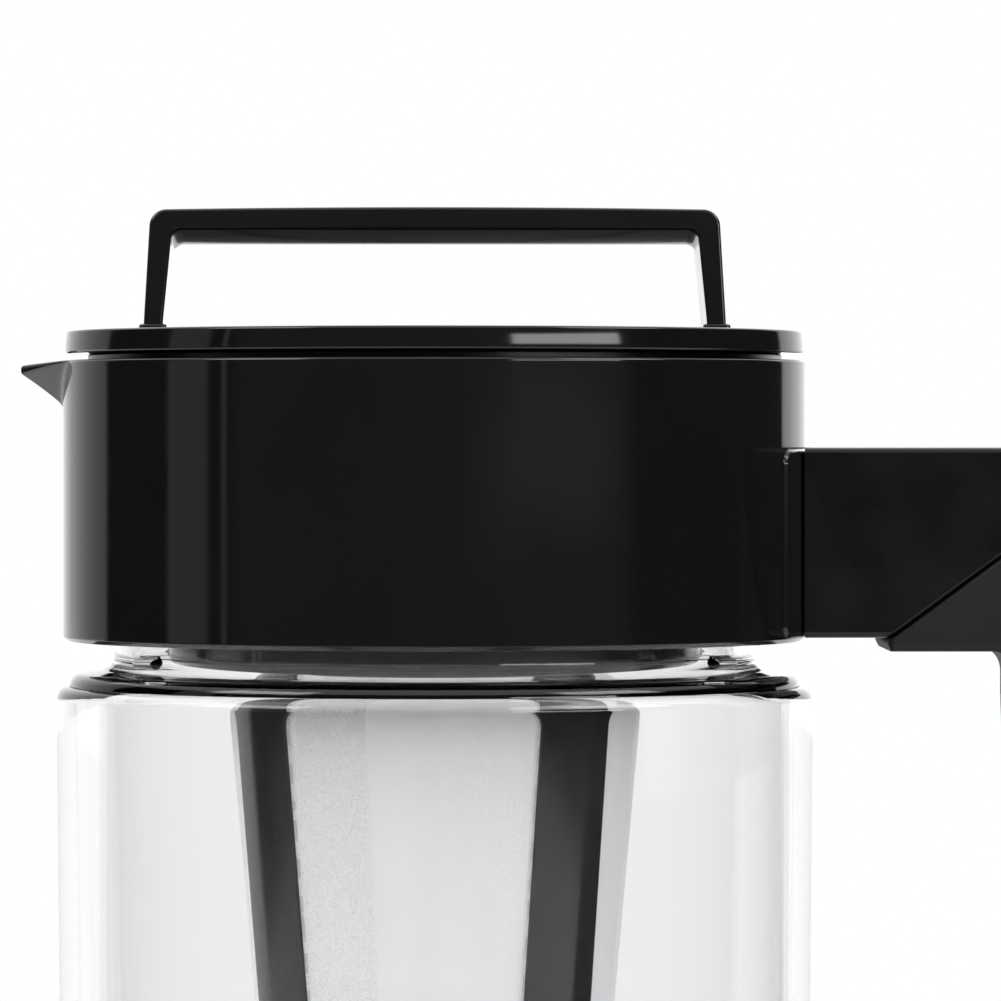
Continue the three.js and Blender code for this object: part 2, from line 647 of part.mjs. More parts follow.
// Stopper drum: its port meets the liner's window when the lid is turned to the spout
function plugDrum() {
  const body = drumRadius - drumRelief;
  const grooveRadius = plugSealInner - fitGap;
  const grooveWall = grooveRadius - drumWall;
  const grooveTop = drumSealBottom + plugSealHeight + fitGap;
  const grooveBottom = drumSealBottom - fitGap;
  const landBottom = linerLipBottom;
  const flangeBottom = drumTop - drumFlangeThickness;
  const cup = turned([
    [0, drumBottom], [spigotInner, drumBottom], [spigotInner, spigotBottom], [spigotRadius, spigotBottom],
    [spigotRadius, drumBottom], [body - drumCorner, drumBottom], [body, drumBottom + drumCorner],
    [body, grooveBottom], [grooveRadius, grooveBottom], [grooveRadius, grooveTop], [body, grooveTop],
    [body, landBottom], [drumRadius, landBottom + drumRelief], [drumRadius, flangeBottom],
    [drumFlangeRadius, flangeBottom], [drumFlangeRadius, drumTop], [drumInner, drumTop],
    [drumInner, grooveTop + drumWall], [grooveWall, grooveTop], [grooveWall, drumFloorTop], [0, drumFloorTop],
  ]);
  const portOutline = boxOutline(
    -portWidth / 2, linerLipTop + fitGap, portWidth / 2, linerTubeTop - fitGap);
  const port = drawnAlongY(portOutline, 0, collarRadius);
  const slotBottom = drumFloorTop + drumCorner;
  const slots = range(strainerSlotCount).map((i) => {
    const centre = (i - (strainerSlotCount - 1) / 2) * strainerSlotPitch;
    const half = strainerSlotWidth / 2;
    const outline = boxOutline(centre - half, slotBottom, centre + half, slotBottom + strainerSlotHeight);
    return drawnAlongY(outline, spigotRadius, collarRadius);
  });
  const ridgeHeight = spigotBottom + spigotRidgeUp;
  const ridges = threadRidges(spigotRadius - spigotWall / 2, spigotRadius + threadRidgeProud, ridgeHeight);
  return cup.subtract(joined([port, ...slots])).add(ridges);
}

const infuserRadiusAt = (height) => THREE.MathUtils.mapLinear(
  height, windowTop, windowBottom, infuserTopRadius, infuserFootRadius);

// Sheet that follows the infuser's cone, between two depths below its outside
function coneSheet(depth, thickness, bottom, top) {
  const corner = (height, inward) => [infuserRadiusAt(height) - inward, height];
  return turned([
    corner(bottom, depth), corner(top, depth),
    corner(top, depth + thickness), corner(bottom, depth + thickness),
  ]);
}

const ribSpokes = (grow) => joined(ribAngles.map((angle) =>
  spoke(angle, ribWidth / 2 + grow, fitGap, collarRadius, infuserBottom, infuserTop)));

// Infuser frame: threaded ring with a wide grip ring round it, four ribs and a closed base
function infuserFrame() {
  const gripRingRadius = infuserTopRadius + gripRingProud;
  const gripRingInner = gripRingRadius - infuserRingWall;
  const gripRingBottom = windowTop + gripRingUp;
  const ring = turned([
    [infuserRadiusAt(windowTop) - ribThickness, windowTop], [infuserTopRadius, windowTop],
    [infuserTopRadius, infuserTop - infuserRingWall], [gripRingInner, infuserTop - infuserRingWall],
    [gripRingInner, gripRingBottom], [gripRingRadius, gripRingBottom], [gripRingRadius, infuserTop],
    [threadBore, infuserTop], [threadBore, windowTop + ribThickness],
  ]);
  const ribs = coneSheet(0, ribThickness, windowBottom - ribThickness, windowTop + ribThickness)
    .intersect(ribSpokes(0));
  const footRadius = infuserRadiusAt(infuserBottom);
  const base = turned([
    [0, infuserBottom],
    ...arc(footRadius - infuserBaseCorner, infuserBottom + infuserBaseCorner, infuserBaseCorner,
      -quarterTurn, 0),
    [infuserFootRadius, windowBottom], [infuserFootRadius - ribThickness, windowBottom],
    [footRadius - ribThickness, infuserBottom + infuserBaseCorner],
    [footRadius - infuserBaseCorner, infuserBottom + infuserBaseThickness],
    [0, infuserBottom + infuserBaseThickness],
  ]);
  const ridgeHeight = spigotBottom + spigotRidgeUp + threadRidgeHeight + fitGap;
  const ridges = threadRidges(threadBore + infuserRingWall / 2, threadBore - threadRidgeProud, ridgeHeight);
  return joined([ring, ribs, base, ridges]);
}

// Mesh panel in the window between two ribs
function meshPanel(fromAngle, toAngle) {
  const sheet = coneSheet(meshRecess, meshThickness, windowBottom + fitGap, windowTop - fitGap);
  const far = [fromAngle, (fromAngle + toAngle) / 2, toAngle].map((angle) =>
    [2 * infuserTopRadius * Math.cos(angle), 2 * infuserTopRadius * Math.sin(angle)]);
  const wedge = drawnAlongZ([[0, 0], ...far], infuserBottom, infuserTop);
  return sheet.intersect(wedge).subtract(ribSpokes(fitGap));
}

// Pitcher, collar and handle, which stay together
const coffeeMaker = new THREE.Group();
addPiece(coffeeMaker, "pitcher_body", pitcherBody(), clearPlastic);
addPiece(coffeeMaker, "collar_shell", collarShell(), glossBlack);
addPiece(coffeeMaker, "collar_liner", collarLiner(), satinBlack);
const neckSeal = sealRing(boreRadius + fitGap, neckRadius - fitGap / 2, neckSealThickness);
addPiece(coffeeMaker, "neck_gasket", neckSeal, greySilicone).position.z = neckSealBottom;
addPiece(coffeeMaker, "handle_frame", handleFrame(), satinBlack);
addPiece(coffeeMaker, "grip_sleeve", gripSleeve(), blackRubber);
["handle_screw_lower", "handle_screw_upper"].forEach((name, i) => {
  const screw = addPiece(coffeeMaker, name, handleScrew(), steel);
  screw.rotation.y = quarterTurn;
  screw.position.set(linerOuter - fitGap, 0, screwHeights[i]);
});

// Lid, which lifts out and turns
const lid = new THREE.Group();
addPiece(lid, "lid_cover", lidCover(), glossBlack);
addPiece(lid, "bail_handle", bailHandle(), satinBlack);
addPiece(lid, "plug_drum", plugDrum(), satinBlack);
const plugSeal = sealRing(plugSealInner, drumRadius, plugSealHeight);
addPiece(lid, "plug_gasket", plugSeal, greySilicone).position.z = drumSealBottom;
const coverSeal = sealRing(drumRadius + fitGap, drumFlangeRadius - fitGap, coverSealThickness);
addPiece(lid, "cover_gasket", coverSeal, greySilicone).position.z = coverSealBottom;
coffeeMaker.add(lid);

// Infuser, which screws onto the drum
const infuser = new THREE.Group();
const infuserSeal = sealRing(spigotRadius + fitGap, infuserTopRadius - fitGap, infuserSealThickness);
addPiece(infuser, "infuser_gasket", infuserSeal, greySilicone).position.z = infuserSealBottom;
addPiece(infuser, "infuser_frame", infuserFrame(), satinBlack);
ribAngles.forEach((angle, i) => {
  const next = ribAngles[i + 1] ?? ribAngles[0] + 2 * halfTurn;
  addPiece(infuser, `mesh_panel_${i + 1}`, meshPanel(angle, next), fineMesh);
});
lid.add(infuser);

export default coffeeMaker;
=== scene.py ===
"""Cold brew coffee maker: the looks of every piece, in metres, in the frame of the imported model."""
from math import asin, cos, hypot, pi, radians, sin, sqrt, tan

import bmesh
import bpy
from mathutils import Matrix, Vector

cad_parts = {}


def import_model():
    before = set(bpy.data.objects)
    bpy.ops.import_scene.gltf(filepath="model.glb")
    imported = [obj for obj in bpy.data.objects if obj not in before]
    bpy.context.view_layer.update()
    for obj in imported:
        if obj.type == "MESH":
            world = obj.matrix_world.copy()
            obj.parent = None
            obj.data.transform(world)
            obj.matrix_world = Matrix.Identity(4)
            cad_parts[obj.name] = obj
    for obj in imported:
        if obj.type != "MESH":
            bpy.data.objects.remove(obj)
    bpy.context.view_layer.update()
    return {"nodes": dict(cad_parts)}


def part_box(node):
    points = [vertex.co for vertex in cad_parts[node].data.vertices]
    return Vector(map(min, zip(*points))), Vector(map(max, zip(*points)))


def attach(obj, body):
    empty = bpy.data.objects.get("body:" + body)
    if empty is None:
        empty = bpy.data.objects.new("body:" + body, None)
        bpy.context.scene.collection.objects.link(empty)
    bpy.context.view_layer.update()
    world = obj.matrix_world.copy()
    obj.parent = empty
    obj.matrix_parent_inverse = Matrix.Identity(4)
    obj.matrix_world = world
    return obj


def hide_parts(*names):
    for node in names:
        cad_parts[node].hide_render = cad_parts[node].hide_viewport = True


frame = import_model()

MM = 0.001
QUARTER = pi / 2
FIT = 0.3 * MM
OVERRUN = 2 * MM
FULL_ROUND = 0.98
ROUND_STEPS = 192
CLEAR_STEPS = 384
ROD_STEPS = 32
CORNER_STEPS = 8
TOUCHING = 1e-7
MITRE_LIMIT = 0.4
SMOOTH_ANGLE = radians(32)

# Lowest and highest corner of each piece's box, which the frame gives
LOW = {node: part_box(node)[0] for node in frame["nodes"]}
HIGH = {node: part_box(node)[1] for node in frame["nodes"]}

# Pitcher
BODY_RADIUS = HIGH["pitcher_body"].y
BODY_DRAFT = 1.2 * MM
BODY_WALL = 2.6 * MM
BASE_CORNER = 6 * MM
BASE_THICKNESS = 4 * MM
FOOT_RECESS = 0.5 * MM
FOOT_RECESS_INSET = 2.5 * MM
SHOULDER_CORNER = 1.8 * MM
SHOULDER_RISE = 0.4 * MM
SHOULDER_INNER_CORNER = 1 * MM
NECK_FILLET = 2.3 * MM
NECK_WALL = 2.4 * MM
RIM_ROUND = 0.7 * MM
BEAD_PROUD = 1.3 * MM
BEAD_HEIGHT = 3.4 * MM
LUG_ANGLES = [radians(angle) for angle in (-150, -30, 30, 150)]
LUG_WIDTH = 6.4 * MM
LUG_HEIGHT = 1.5 * MM
LUG_PROUD = 1.5 * MM
LUG_FLARE = 1.15
LUG_FINE_SHARE = 0.65

# Collar
COLLAR_RADIUS = HIGH["collar_shell"].y
COLLAR_BOTTOM = LOW["collar_shell"].z
COLLAR_TOP = HIGH["collar_shell"].z
COLLAR_WALL = 2.1 * MM
COLLAR_TOP_ROUND = 0.45 * MM
COLLAR_LIP = 0.65 * MM
SNAP_RIB_UP = 3.9 * MM
SNAP_RIB_HEIGHT = 2.5 * MM
PAD_PROUD = HIGH["collar_shell"].x - COLLAR_RADIUS
PAD_WIDTH = 41 * MM
PAD_HEIGHT = 26 * MM
PAD_CORNER = 2 * MM
PAD_UP = 0.5 * MM
PAD_EDGE = 0.35 * MM
SPOUT_TIP = -LOW["collar_shell"].x
SPOUT_HALF_WIDTH = 11.5 * MM
SPOUT_DEPTH = 6.2 * MM
SPOUT_TIP_DROP = 0.65 * MM
SPOUT_TIP_HEIGHT = 0.5 * MM
SPOUT_WALL = 1.6 * MM
SPOUT_ROOT_FILLET = 0.9 * MM
SPOUT_RIDGE_ROUND = 0.25 * MM
SPOUT_FINE_SHARE = 1.04
SHOULDER_TOP = COLLAR_BOTTOM - 4.1 * MM
SNAP_RIB_TOP = COLLAR_BOTTOM + SNAP_RIB_UP + SNAP_RIB_HEIGHT
BEAD_BOTTOM = SNAP_RIB_TOP + FIT
BEAD_TOP = BEAD_BOTTOM + BEAD_HEIGHT
COLLAR_INNER = COLLAR_RADIUS - COLLAR_WALL

# Liner and neck
LINER_OUTER = HIGH["collar_liner"].y
LINER_SKIRT = 4.4 * MM
LINER_LIP = 1.8 * MM
LINER_WINDOW = 22 * MM
CHANNEL_WALL = 1.6 * MM
NECK_RADIUS = LINER_OUTER - LINER_SKIRT - FIT
NECK_TOP = HIGH["pitcher_body"].z
BORE_RADIUS = NECK_RADIUS - NECK_WALL
LINER_TUBE_OUTER = BORE_RADIUS + LINER_LIP
LINER_LIP_BOTTOM = HIGH["neck_gasket"].z + FIT
LINER_LIP_TOP = LINER_LIP_BOTTOM + LINER_LIP
SCREW_POCKET_HALF = 4.4 * MM

# Screws and their holes
SCREW_HOLE = 1.8 * MM
SCREW_LENGTH = 13 * MM
SCREW_HEAD = 3.2 * MM
SCREW_HEAD_HEIGHT = 2.1 * MM
BOSS_RADIUS = 3.8 * MM
SCREWS = ("handle_screw_lower", "handle_screw_upper")
SCREW_HEIGHTS = [(LOW[node].z + HIGH[node].z) / 2 for node in SCREWS]

# Lid and bail
LID_RADIUS = HIGH["lid_cover"].y
LID_TOP = HIGH["lid_cover"].z
LID_THICKNESS = 3.15 * MM
LID_BOTTOM = LID_TOP - LID_THICKNESS
LID_EDGE = 0.4 * MM
LID_LEAN = 0.16 * MM
LID_DISH_RADIUS = LID_RADIUS - 17.5 * MM
LID_DISH_DEPTH = 0.6 * MM
LID_RING_WALL = 2.4 * MM
LID_RING_HEIGHT = 3 * MM
BAIL_TOP = HIGH["bail_handle"].z
BAIL_DEPTH = 20 * MM
BAIL_HALF_FOOT = LID_RADIUS - 11.3 * MM
BAIL_HALF_TOP = BAIL_HALF_FOOT - 0.8 * MM
BAIL_LEG_FOOT = 2.6 * MM
BAIL_LEG_TOP = 3 * MM
BAIL_BAR = 3.1 * MM
BAIL_BAR_BELLY = 1.78 * MM
BAIL_BELLY_POWER = 1.3
BAIL_CROWN = 0.3 * MM
BAIL_OUTER_CORNER = 2.4 * MM
BAIL_INNER_CORNER = 1.5 * MM
BAIL_EDGE = 0.45 * MM
BAIL_FOOT = 0.6 * MM

# Stopper drum
DRUM_WALL = 2 * MM
DRUM_RELIEF = 0.7 * MM
DRUM_FLANGE = 1.8 * MM
DRUM_FLOOR = 2.2 * MM
DRUM_CORNER = 1.2 * MM
DRUM_RADIUS = BORE_RADIUS - FIT
DRUM_INNER = DRUM_RADIUS - DRUM_RELIEF - DRUM_WALL
DRUM_TOP = HIGH["plug_drum"].z
DRUM_BOTTOM = HIGH["infuser_gasket"].z + FIT
PLUG_SEAL_THICKNESS = 2.5 * MM
PORT_WIDTH = 20 * MM
STRAINER_WIDTH = 2.4 * MM
STRAINER_HEIGHT = 6.5 * MM
STRAINER_PITCH = 4.6 * MM
STRAINER_COUNT = 5
THREAD_LEAD = 24 * MM
THREAD_STARTS = 4
THREAD_SWEEP = radians(40)
THREAD_STEPS = 24
THREAD_HEIGHT = 1.6 * MM
THREAD_PROUD = 1.2 * MM
THREAD_PLAY = 0.5 * MM
THREAD_TIP_SHARE = 0.6
THREAD_TAPER_SHARE = 0.12
THREAD_END_SHARE = 0.2
SPIGOT_WALL = 2.2 * MM
SPIGOT_BOTTOM = LOW["plug_drum"].z
SPIGOT_RIDGE_UP = 3 * MM

# Infuser
INFUSER_RADIUS = HIGH["infuser_gasket"].y + FIT
INFUSER_FOOT = 19.7 * MM
INFUSER_RING = 15.6 * MM
INFUSER_RING_WALL = 2.4 * MM
GRIP_RING_PROUD = 7.75 * MM
GRIP_RING_UP = 1.9 * MM
INFUSER_BASE = 12 * MM
INFUSER_BASE_CORNER = 3 * MM
INFUSER_FLOOR = 2.2 * MM
INFUSER_BOTTOM = LOW["infuser_frame"].z
INFUSER_TOP = HIGH["infuser_frame"].z
WINDOW_BOTTOM = INFUSER_BOTTOM + INFUSER_BASE
CONE_TOP = INFUSER_TOP - INFUSER_RING
WINDOW_TOP = CONE_TOP + 1.1 * MM
RIB_WIDTH = 12.2 * MM
RIB_THICKNESS = 1.8 * MM
RIB_ANGLES = [radians(angle) for angle in (-147, -48, 41, 124)]
RIB_PAIRS = list(zip(RIB_ANGLES, RIB_ANGLES[1:] + [RIB_ANGLES[0] + 2 * pi]))
WINDOW_CORNER = 2.2 * MM
WINDOW_STEPS = 40
MESH_RECESS = 0.6 * MM
MESH_THICKNESS = 0.6 * MM
MESH_PITCH = 0.09 * MM
MESH_THREADS_ROUND = 1740
MESH_GAP_SHARE = 0.62
MESH_SWAY = 2600
MESH_RISE = MESH_SWAY * 0.9
MESH_UNEVEN = 3
THREAD_BORE = INFUSER_RADIUS - INFUSER_RING_WALL
SPIGOT_RADIUS = THREAD_BORE - THREAD_PROUD - THREAD_PLAY

# Gaskets
GASKET_ROUND_SHARE = 0.45
GASKET_LIP_TURN = QUARTER * 0.8

# Handle
ARM_HALF = 13.6 * MM
ARM_BOTTOM = HIGH["handle_frame"].z - 26.2 * MM
ARM_TOP = HIGH["handle_frame"].z
ARM_EDGE = 0.9 * MM
ARM_WALL = 2.6 * MM
HANDLE_REACH = HIGH["grip_sleeve"].x
HANDLE_CORNER = 6 * MM
SEAM_START = COLLAR_RADIUS + 11 * MM
SEAM_ANGLE = radians(36.3)
SEAM_ROUND = 0.5 * MM
SEAM_STEPS = 5
GRIP_THICKNESS = 17.25 * MM
GRIP_EDGE = 5.5 * MM
GRIP_FOOT_CORNER = 7 * MM
GRIP_FOOT_ROUND = 4 * MM
GRIP_FILLET = 3.4 * MM
GRIP_NECK = 14 * MM
GRIP_FOOT = LOW["grip_sleeve"].z
GRIP_INNER = HANDLE_REACH - GRIP_THICKNESS
SLEEVE_BOTTOM = ARM_BOTTOM - 1.9 * MM
SLEEVE_HALF = HIGH["grip_sleeve"].y
GRIP_HALF = SLEEVE_HALF - 1.2 * MM
SLEEVE_EDGE = 1.2 * MM
SLEEVE_LEAN = 0.95 * MM
SLEEVE_WALL = 2.6 * MM
SLEEVE_FLOOR = 4.2 * MM


# Mesh tools

def spread(low, high, count):
    """Evenly spaced numbers, both ends among them."""
    return [low + (high - low) * i / count for i in range(count + 1)]


def stepped(start, *stretches):
    """Numbers from a start through the ends of stretches, each given as its end and its count of steps."""
    numbers = [start]
    for end, count in stretches:
        numbers += spread(numbers[-1], end, count)[1:]
    return numbers


def arc(centre_a, centre_b, radius, start, end, steps=CORNER_STEPS):
    """Points of a round stretch, from one angle to another."""
    return [(centre_a + radius * cos(t), centre_b + radius * sin(t)) for t in spread(start, end, steps)]


def rounded(a, b, radius, quarter, steps=CORNER_STEPS):
    """Round stretch in place of a square corner: quarter 0 is an upper right corner, 1 an upper left one."""
    centre_a = a + radius if quarter in (1, 2) else a - radius
    centre_b = b + radius if quarter in (2, 3) else b - radius
    return arc(centre_a, centre_b, radius, quarter * QUARTER, (quarter + 1) * QUARTER, steps)


def rounded_box(low_a, low_b, high_a, high_b, radius, steps=CORNER_STEPS):
    """Counter-clockwise outline of a rectangle with rounded corners."""
    corners = ((high_a, high_b), (low_a, high_b), (low_a, low_b), (high_a, low_b))
    return [point for i, (a, b) in enumerate(corners) for point in rounded(a, b, radius, i, steps)]


def inset(outline, amount):
    """Counter-clockwise outline, drawn in by one amount."""
    points = [Vector(point) for point in outline]
    points = [p for i, p in enumerate(points) if (p - points[i - 1]).length > TOUCHING]
    moved = []
    for i, here in enumerate(points):
        into = (here - points[i - 1]).normalized()
        out = (points[(i + 1) % len(points)] - here).normalized()
        first, second = Vector((-into.y, into.x)), Vector((-out.y, out.x))
        mitre = (first + second).normalized()
        moved.append(here + mitre * amount / max(mitre.dot(first), MITRE_LIMIT))
    return moved


def made(name, vertices, faces):
    """Object from points and faces, its faces pointing out."""
    mesh = bpy.data.meshes.new(name)
    mesh.from_pydata([tuple(v) for v in vertices], [], faces)
    form = bmesh.new()
    form.from_mesh(mesh)
    bmesh.ops.remove_doubles(form, verts=form.verts, dist=TOUCHING / 10)
    bmesh.ops.recalc_face_normals(form, faces=form.faces)
    form.to_mesh(mesh)
    form.free()
    piece = bpy.data.objects.new(name, mesh)
    bpy.context.scene.collection.objects.link(piece)
    return piece


def loft(name, rings, looped=False, strips=False):
    """Skin over closed rings of points. A ring of one point is a tip, and other ends get a face or strips."""
    vertices, faces, starts = [], [], []
    for ring in rings:
        starts.append(len(vertices))
        vertices.extend(ring)
    last = len(rings) - 1
    for one, two in [(i, i + 1) for i in range(last)] + [(last, 0)] * looped:
        count_one, count_two = len(rings[one]), len(rings[two])
        for i in range(max(count_one, count_two)):
            a, b = starts[one] + i % count_one, starts[one] + (i + 1) % count_one
            c, d = starts[two] + (i + 1) % count_two, starts[two] + i % count_two
            face = [a, b, c, d]
            corners = [v for k, v in enumerate(face) if v != face[k - 1]]
            if len(corners) > 2:
                faces.append(corners)
    if not looped:
        for end in (0, last):
            ring = [starts[end] + i for i in range(len(rings[end]))]
            if strips:
                faces += [[ring[i], ring[i + 1], ring[-i - 2], ring[-i - 1]]
                          for i in range(len(ring) // 2 - 1)]
            elif len(ring) > 2:
                faces.append(ring)
    return made(name, vertices, faces)


def turned(name, profile, angles=None, push=None):
    """Solid of revolution about +Z from a closed profile; push moves a point by its angle."""
    angles = angles or fine_angles([])
    rings = []
    for radius, height in profile:
        if radius == 0:
            rings.append([(0, 0, height)])
            continue
        ring = []
        for angle in angles:
            r, z = push(angle, radius, height) if push else (radius, height)
            ring.append((r * cos(angle), r * sin(angle), z))
        rings.append(ring)
    return loft(name, rings, looped=profile[0][0] > 0)


def slab(name, outline, half_width, edge):
    """Outline in X and Z drawn out along Y, with every rim rounded."""
    turns = spread(0, QUARTER, CORNER_STEPS)
    rings = []
    for side in (-1, 1):
        for turn in turns[::-side]:
            y = side * (half_width - edge + edge * cos(turn))
            shrink = edge * (1 - sin(turn))
            rings.append([(p.x, y, p.y) for p in inset(outline, shrink)])
    return loft(name, rings)


def drawn(name, outline, low, high, axis):
    """Plain prism of an outline along one axis; the outline lies in the two other axes, in order."""
    def place(point, along):
        across = list(point)
        across.insert(axis, along)
        return tuple(across)
    return loft(name, [[place(point, along) for point in outline] for along in (low, high)])


def rod_x(name, radius, low, high, height):
    """Round bar along X at Y zero."""
    return drawn(name, arc(0, height, radius, 0, 2 * pi, ROD_STEPS)[1:], low, high, 0)


def settle(piece):
    """Makes the modifiers' result the piece's own mesh."""
    graph = bpy.context.evaluated_depsgraph_get()
    mesh = bpy.data.meshes.new_from_object(piece.evaluated_get(graph))
    old = piece.data
    piece.modifiers.clear()
    piece.data = mesh
    bpy.data.meshes.remove(old)


def combine(piece, operation, *tools):
    """Joins, cuts or keeps the common part with each tool, which is then gone."""
    for tool in tools:
        change = piece.modifiers.new("combine", "BOOLEAN")
        change.operation, change.solver, change.object = operation, "MANIFOLD", tool
        settle(piece)
        bpy.data.objects.remove(tool)
    return piece


def clamp(value):
    """The value, kept from 0 to 1."""
    return min(max(value, 0), 1)


def ease(low, high, value):
    """Smooth step from 0 to 1."""
    t = clamp((value - low) / (high - low))
    return t * t * (3 - 2 * t)


def soft_max(a, b, blend):
    return max(a, b) + max(blend - abs(a - b), 0) ** 2 / (4 * blend)


def soft_min(a, b, blend):
    return -soft_max(-a, -b, blend)


def turn_from(angle, centre):
    """Signed turn from a centre angle, within half a turn."""
    return (angle - centre + pi) % (2 * pi) - pi


def fine_angles(spans, steps=ROUND_STEPS):
    """Angles round the axis, even but for finer spans of (centre, half width, count)."""
    angles = [2 * pi * i / steps for i in range(steps)]
    for centre, half, count in spans:
        angles = [a for a in angles if abs(turn_from(a, centre)) > half]
        angles += [(centre + turn) % (2 * pi) for turn in spread(-half, half, count)]
    return sorted(angles)


def dress(piece, body, slot, material, *nodes):
    """Gives a finished piece its shading, finish and body, and hides the nodes it stands for."""
    piece.data.shade_smooth()
    piece.data.set_sharp_from_angle(angle=SMOOTH_ANGLE)
    even = piece.modifiers.new("even_normals", "WEIGHTED_NORMAL")
    even.keep_sharp = True
    piece.data.materials.clear()
    piece.data.materials.append(material)
    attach(piece, body)
    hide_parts(*nodes)
    return piece


# Shader tools

class Signal:
    """Socket of a shader tree that can stand in sums."""

    def __init__(self, graph, socket):
        self.graph = graph
        self.socket = socket

    def sum(self, operation, first, second):
        return self.graph.node("ShaderNodeMath", {"operation": operation}, {0: first, 1: second})

    __add__ = __radd__ = lambda self, other: self.sum("ADD", self, other)
    __mul__ = __rmul__ = lambda self, other: self.sum("MULTIPLY", self, other)
    __sub__ = lambda self, other: self.sum("SUBTRACT", self, other)
    __rsub__ = lambda self, other: self.sum("SUBTRACT", other, self)
    __gt__ = lambda self, other: self.sum("GREATER_THAN", self, other)
    __lt__ = lambda self, other: self.sum("LESS_THAN", self, other)


class Graph:
    """Node tree of its owner, one material or the world."""

    def __init__(self, owner):
        self.owner = owner
        owner.use_nodes = True
        self.tree = owner.node_tree
        self.tree.nodes.clear()

    def node(self, kind, settings=None, inputs=None, output=0):
        """Adds a node: its settings first, then the values or links of its sockets."""
        added = self.tree.nodes.new(kind)
        for name, value in (settings or {}).items():
            setattr(added, name, value)
        for name, value in (inputs or {}).items():
            if isinstance(value, Signal):
                self.tree.links.new(value.socket, added.inputs[name])
            else:
                added.inputs[name].default_value = value
        return Signal(self, added.outputs[output]) if added.outputs else None

    def noise(self, place, scale, detail=2, stretch=(1, 1, 1)):
        stretched = self.node("ShaderNodeVectorMath", {"operation": "MULTIPLY"}, {0: place, 1: stretch})
        return self.node("ShaderNodeTexNoise", inputs={"Vector": stretched, "Scale": scale, "Detail": detail})

    def between(self, value, low, high, to_low=0, to_high=1):
        """Smooth change of a value from one range to another."""
        return self.node("ShaderNodeMapRange", {"interpolation_type": "SMOOTHSTEP"}, {
            "Value": value, "From Min": low, "From Max": high, "To Min": to_low, "To Max": to_high})

    def blend(self, factor, first, second):
        return self.node("ShaderNodeMix", {"data_type": "RGBA"}, {0: factor, 6: first, 7: second}, output=2)

    def bump(self, height, strength, distance):
        inputs = {"Height": height, "Strength": strength, "Distance": distance}
        return self.node("ShaderNodeBump", inputs=inputs)

    def place(self):
        return self.node("ShaderNodeTexCoord", output=3)

    def parts(self, vector):
        """The three numbers of a vector."""
        split = self.node("ShaderNodeSeparateXYZ", inputs={0: vector})
        return [Signal(self, split.socket.node.outputs[i]) for i in range(3)]

    def ripple(self, value):
        """Distance to the nearest whole number, for a pattern that repeats once a unit."""
        return value.sum("PINGPONG", value, 0.5)

    def rays(self, *names):
        """Light Path's numbers by name."""
        path = self.node("ShaderNodeLightPath")
        return [Signal(self, path.socket.node.outputs[name]) for name in names]

    def window(self, value, low, high, soft):
        """1 between two values and 0 outside them, with soft ends."""
        past = self.between(value, high - soft, high + soft)
        return self.between(value, low - soft, low + soft) * (1 - past)

    def turn_from_front(self, x, y):
        """Degrees to the right of the front, as seen from above."""
        return x.sum("ARCTAN2", x, y * -1) * (180 / pi)

    def surface(self, inputs):
        """Gives the material its shader and hands the material over."""
        shader = self.node("ShaderNodeBsdfPrincipled", inputs=inputs)
        self.node("ShaderNodeOutputMaterial", inputs={"Surface": shader})
        return self.owner


def new_material(name):
    return Graph(bpy.data.materials.new(name))


def grey(level, tint=(1, 1, 1)):
    return tuple(level * part for part in tint) + (1,)


def make_clear_plastic():
    """Polished clear pitcher with faint flow lines from its mould."""
    graph = new_material("clear_plastic")
    place = graph.place()
    flow = graph.noise(place, 60, 2, (1, 1, 0.05))
    return graph.surface({
        "Base Color": (0.985, 0.985, 0.99, 1), "Transmission Weight": 1, "IOR": 1.53,
        "Roughness": graph.between(graph.noise(place, 300), 0.45, 0.75, 0.0, 0.03),
        "Normal": graph.bump(flow, 0.04, 0.3 * MM),
    })


def moulded(name, marks, shades, roughness, ior, grain, depth):
    """Moulded piece's material: its marks change shade and roughness, and its grain gives the bump."""
    graph = new_material(name)
    place = graph.place()
    marks = graph.noise(place, *marks)
    return graph.surface({
        "Base Color": graph.blend(marks, *shades), "IOR": ior,
        "Roughness": graph.between(marks, *roughness),
        "Normal": graph.bump(graph.noise(place, grain, 1), *depth),
    })


# Slightly wavy, with a trace of handling
gloss_black = moulded(
    "gloss_black", marks=(45, 3), shades=(grey(0.0035), grey(0.006, (1, 0.98, 1.02))),
    roughness=(0.3, 0.75, 0.05, 0.1), ior=1.5, grain=28, depth=(0.12, 0.4 * MM))

# Polished, but less than the collar and the lid
bail_black = moulded(
    "bail_black", marks=(60, 3), shades=(grey(0.006), grey(0.01)),
    roughness=(0.3, 0.75, 0.1, 0.17), ior=1.5, grain=40, depth=(0.06, 0.3 * MM))

# Fine grained
satin_black = moulded(
    "satin_black", marks=(90, 3), shades=(grey(0.002), grey(0.0045)),
    roughness=(0.25, 0.75, 0.24, 0.34), ior=1.38, grain=2600, depth=(0.1, 0.05 * MM))

# Smooth, with faint upright streaks from washing
infuser_black = moulded(
    "infuser_black", marks=(220, 3, (1, 1, 0.06)), shades=(grey(0.012), grey(0.02)),
    roughness=(0.25, 0.75, 0.1, 0.16), ior=1.6, grain=120, depth=(0.05, 0.3 * MM))

# Soft and matte, with a fine stipple and a little dust
grip_rubber = moulded(
    "grip_rubber", marks=(70, 4), shades=(grey(0.006), grey(0.011)),
    roughness=(0.25, 0.75, 0.5, 0.64), ior=1.37, grain=3200, depth=(0.25, 0.06 * MM))

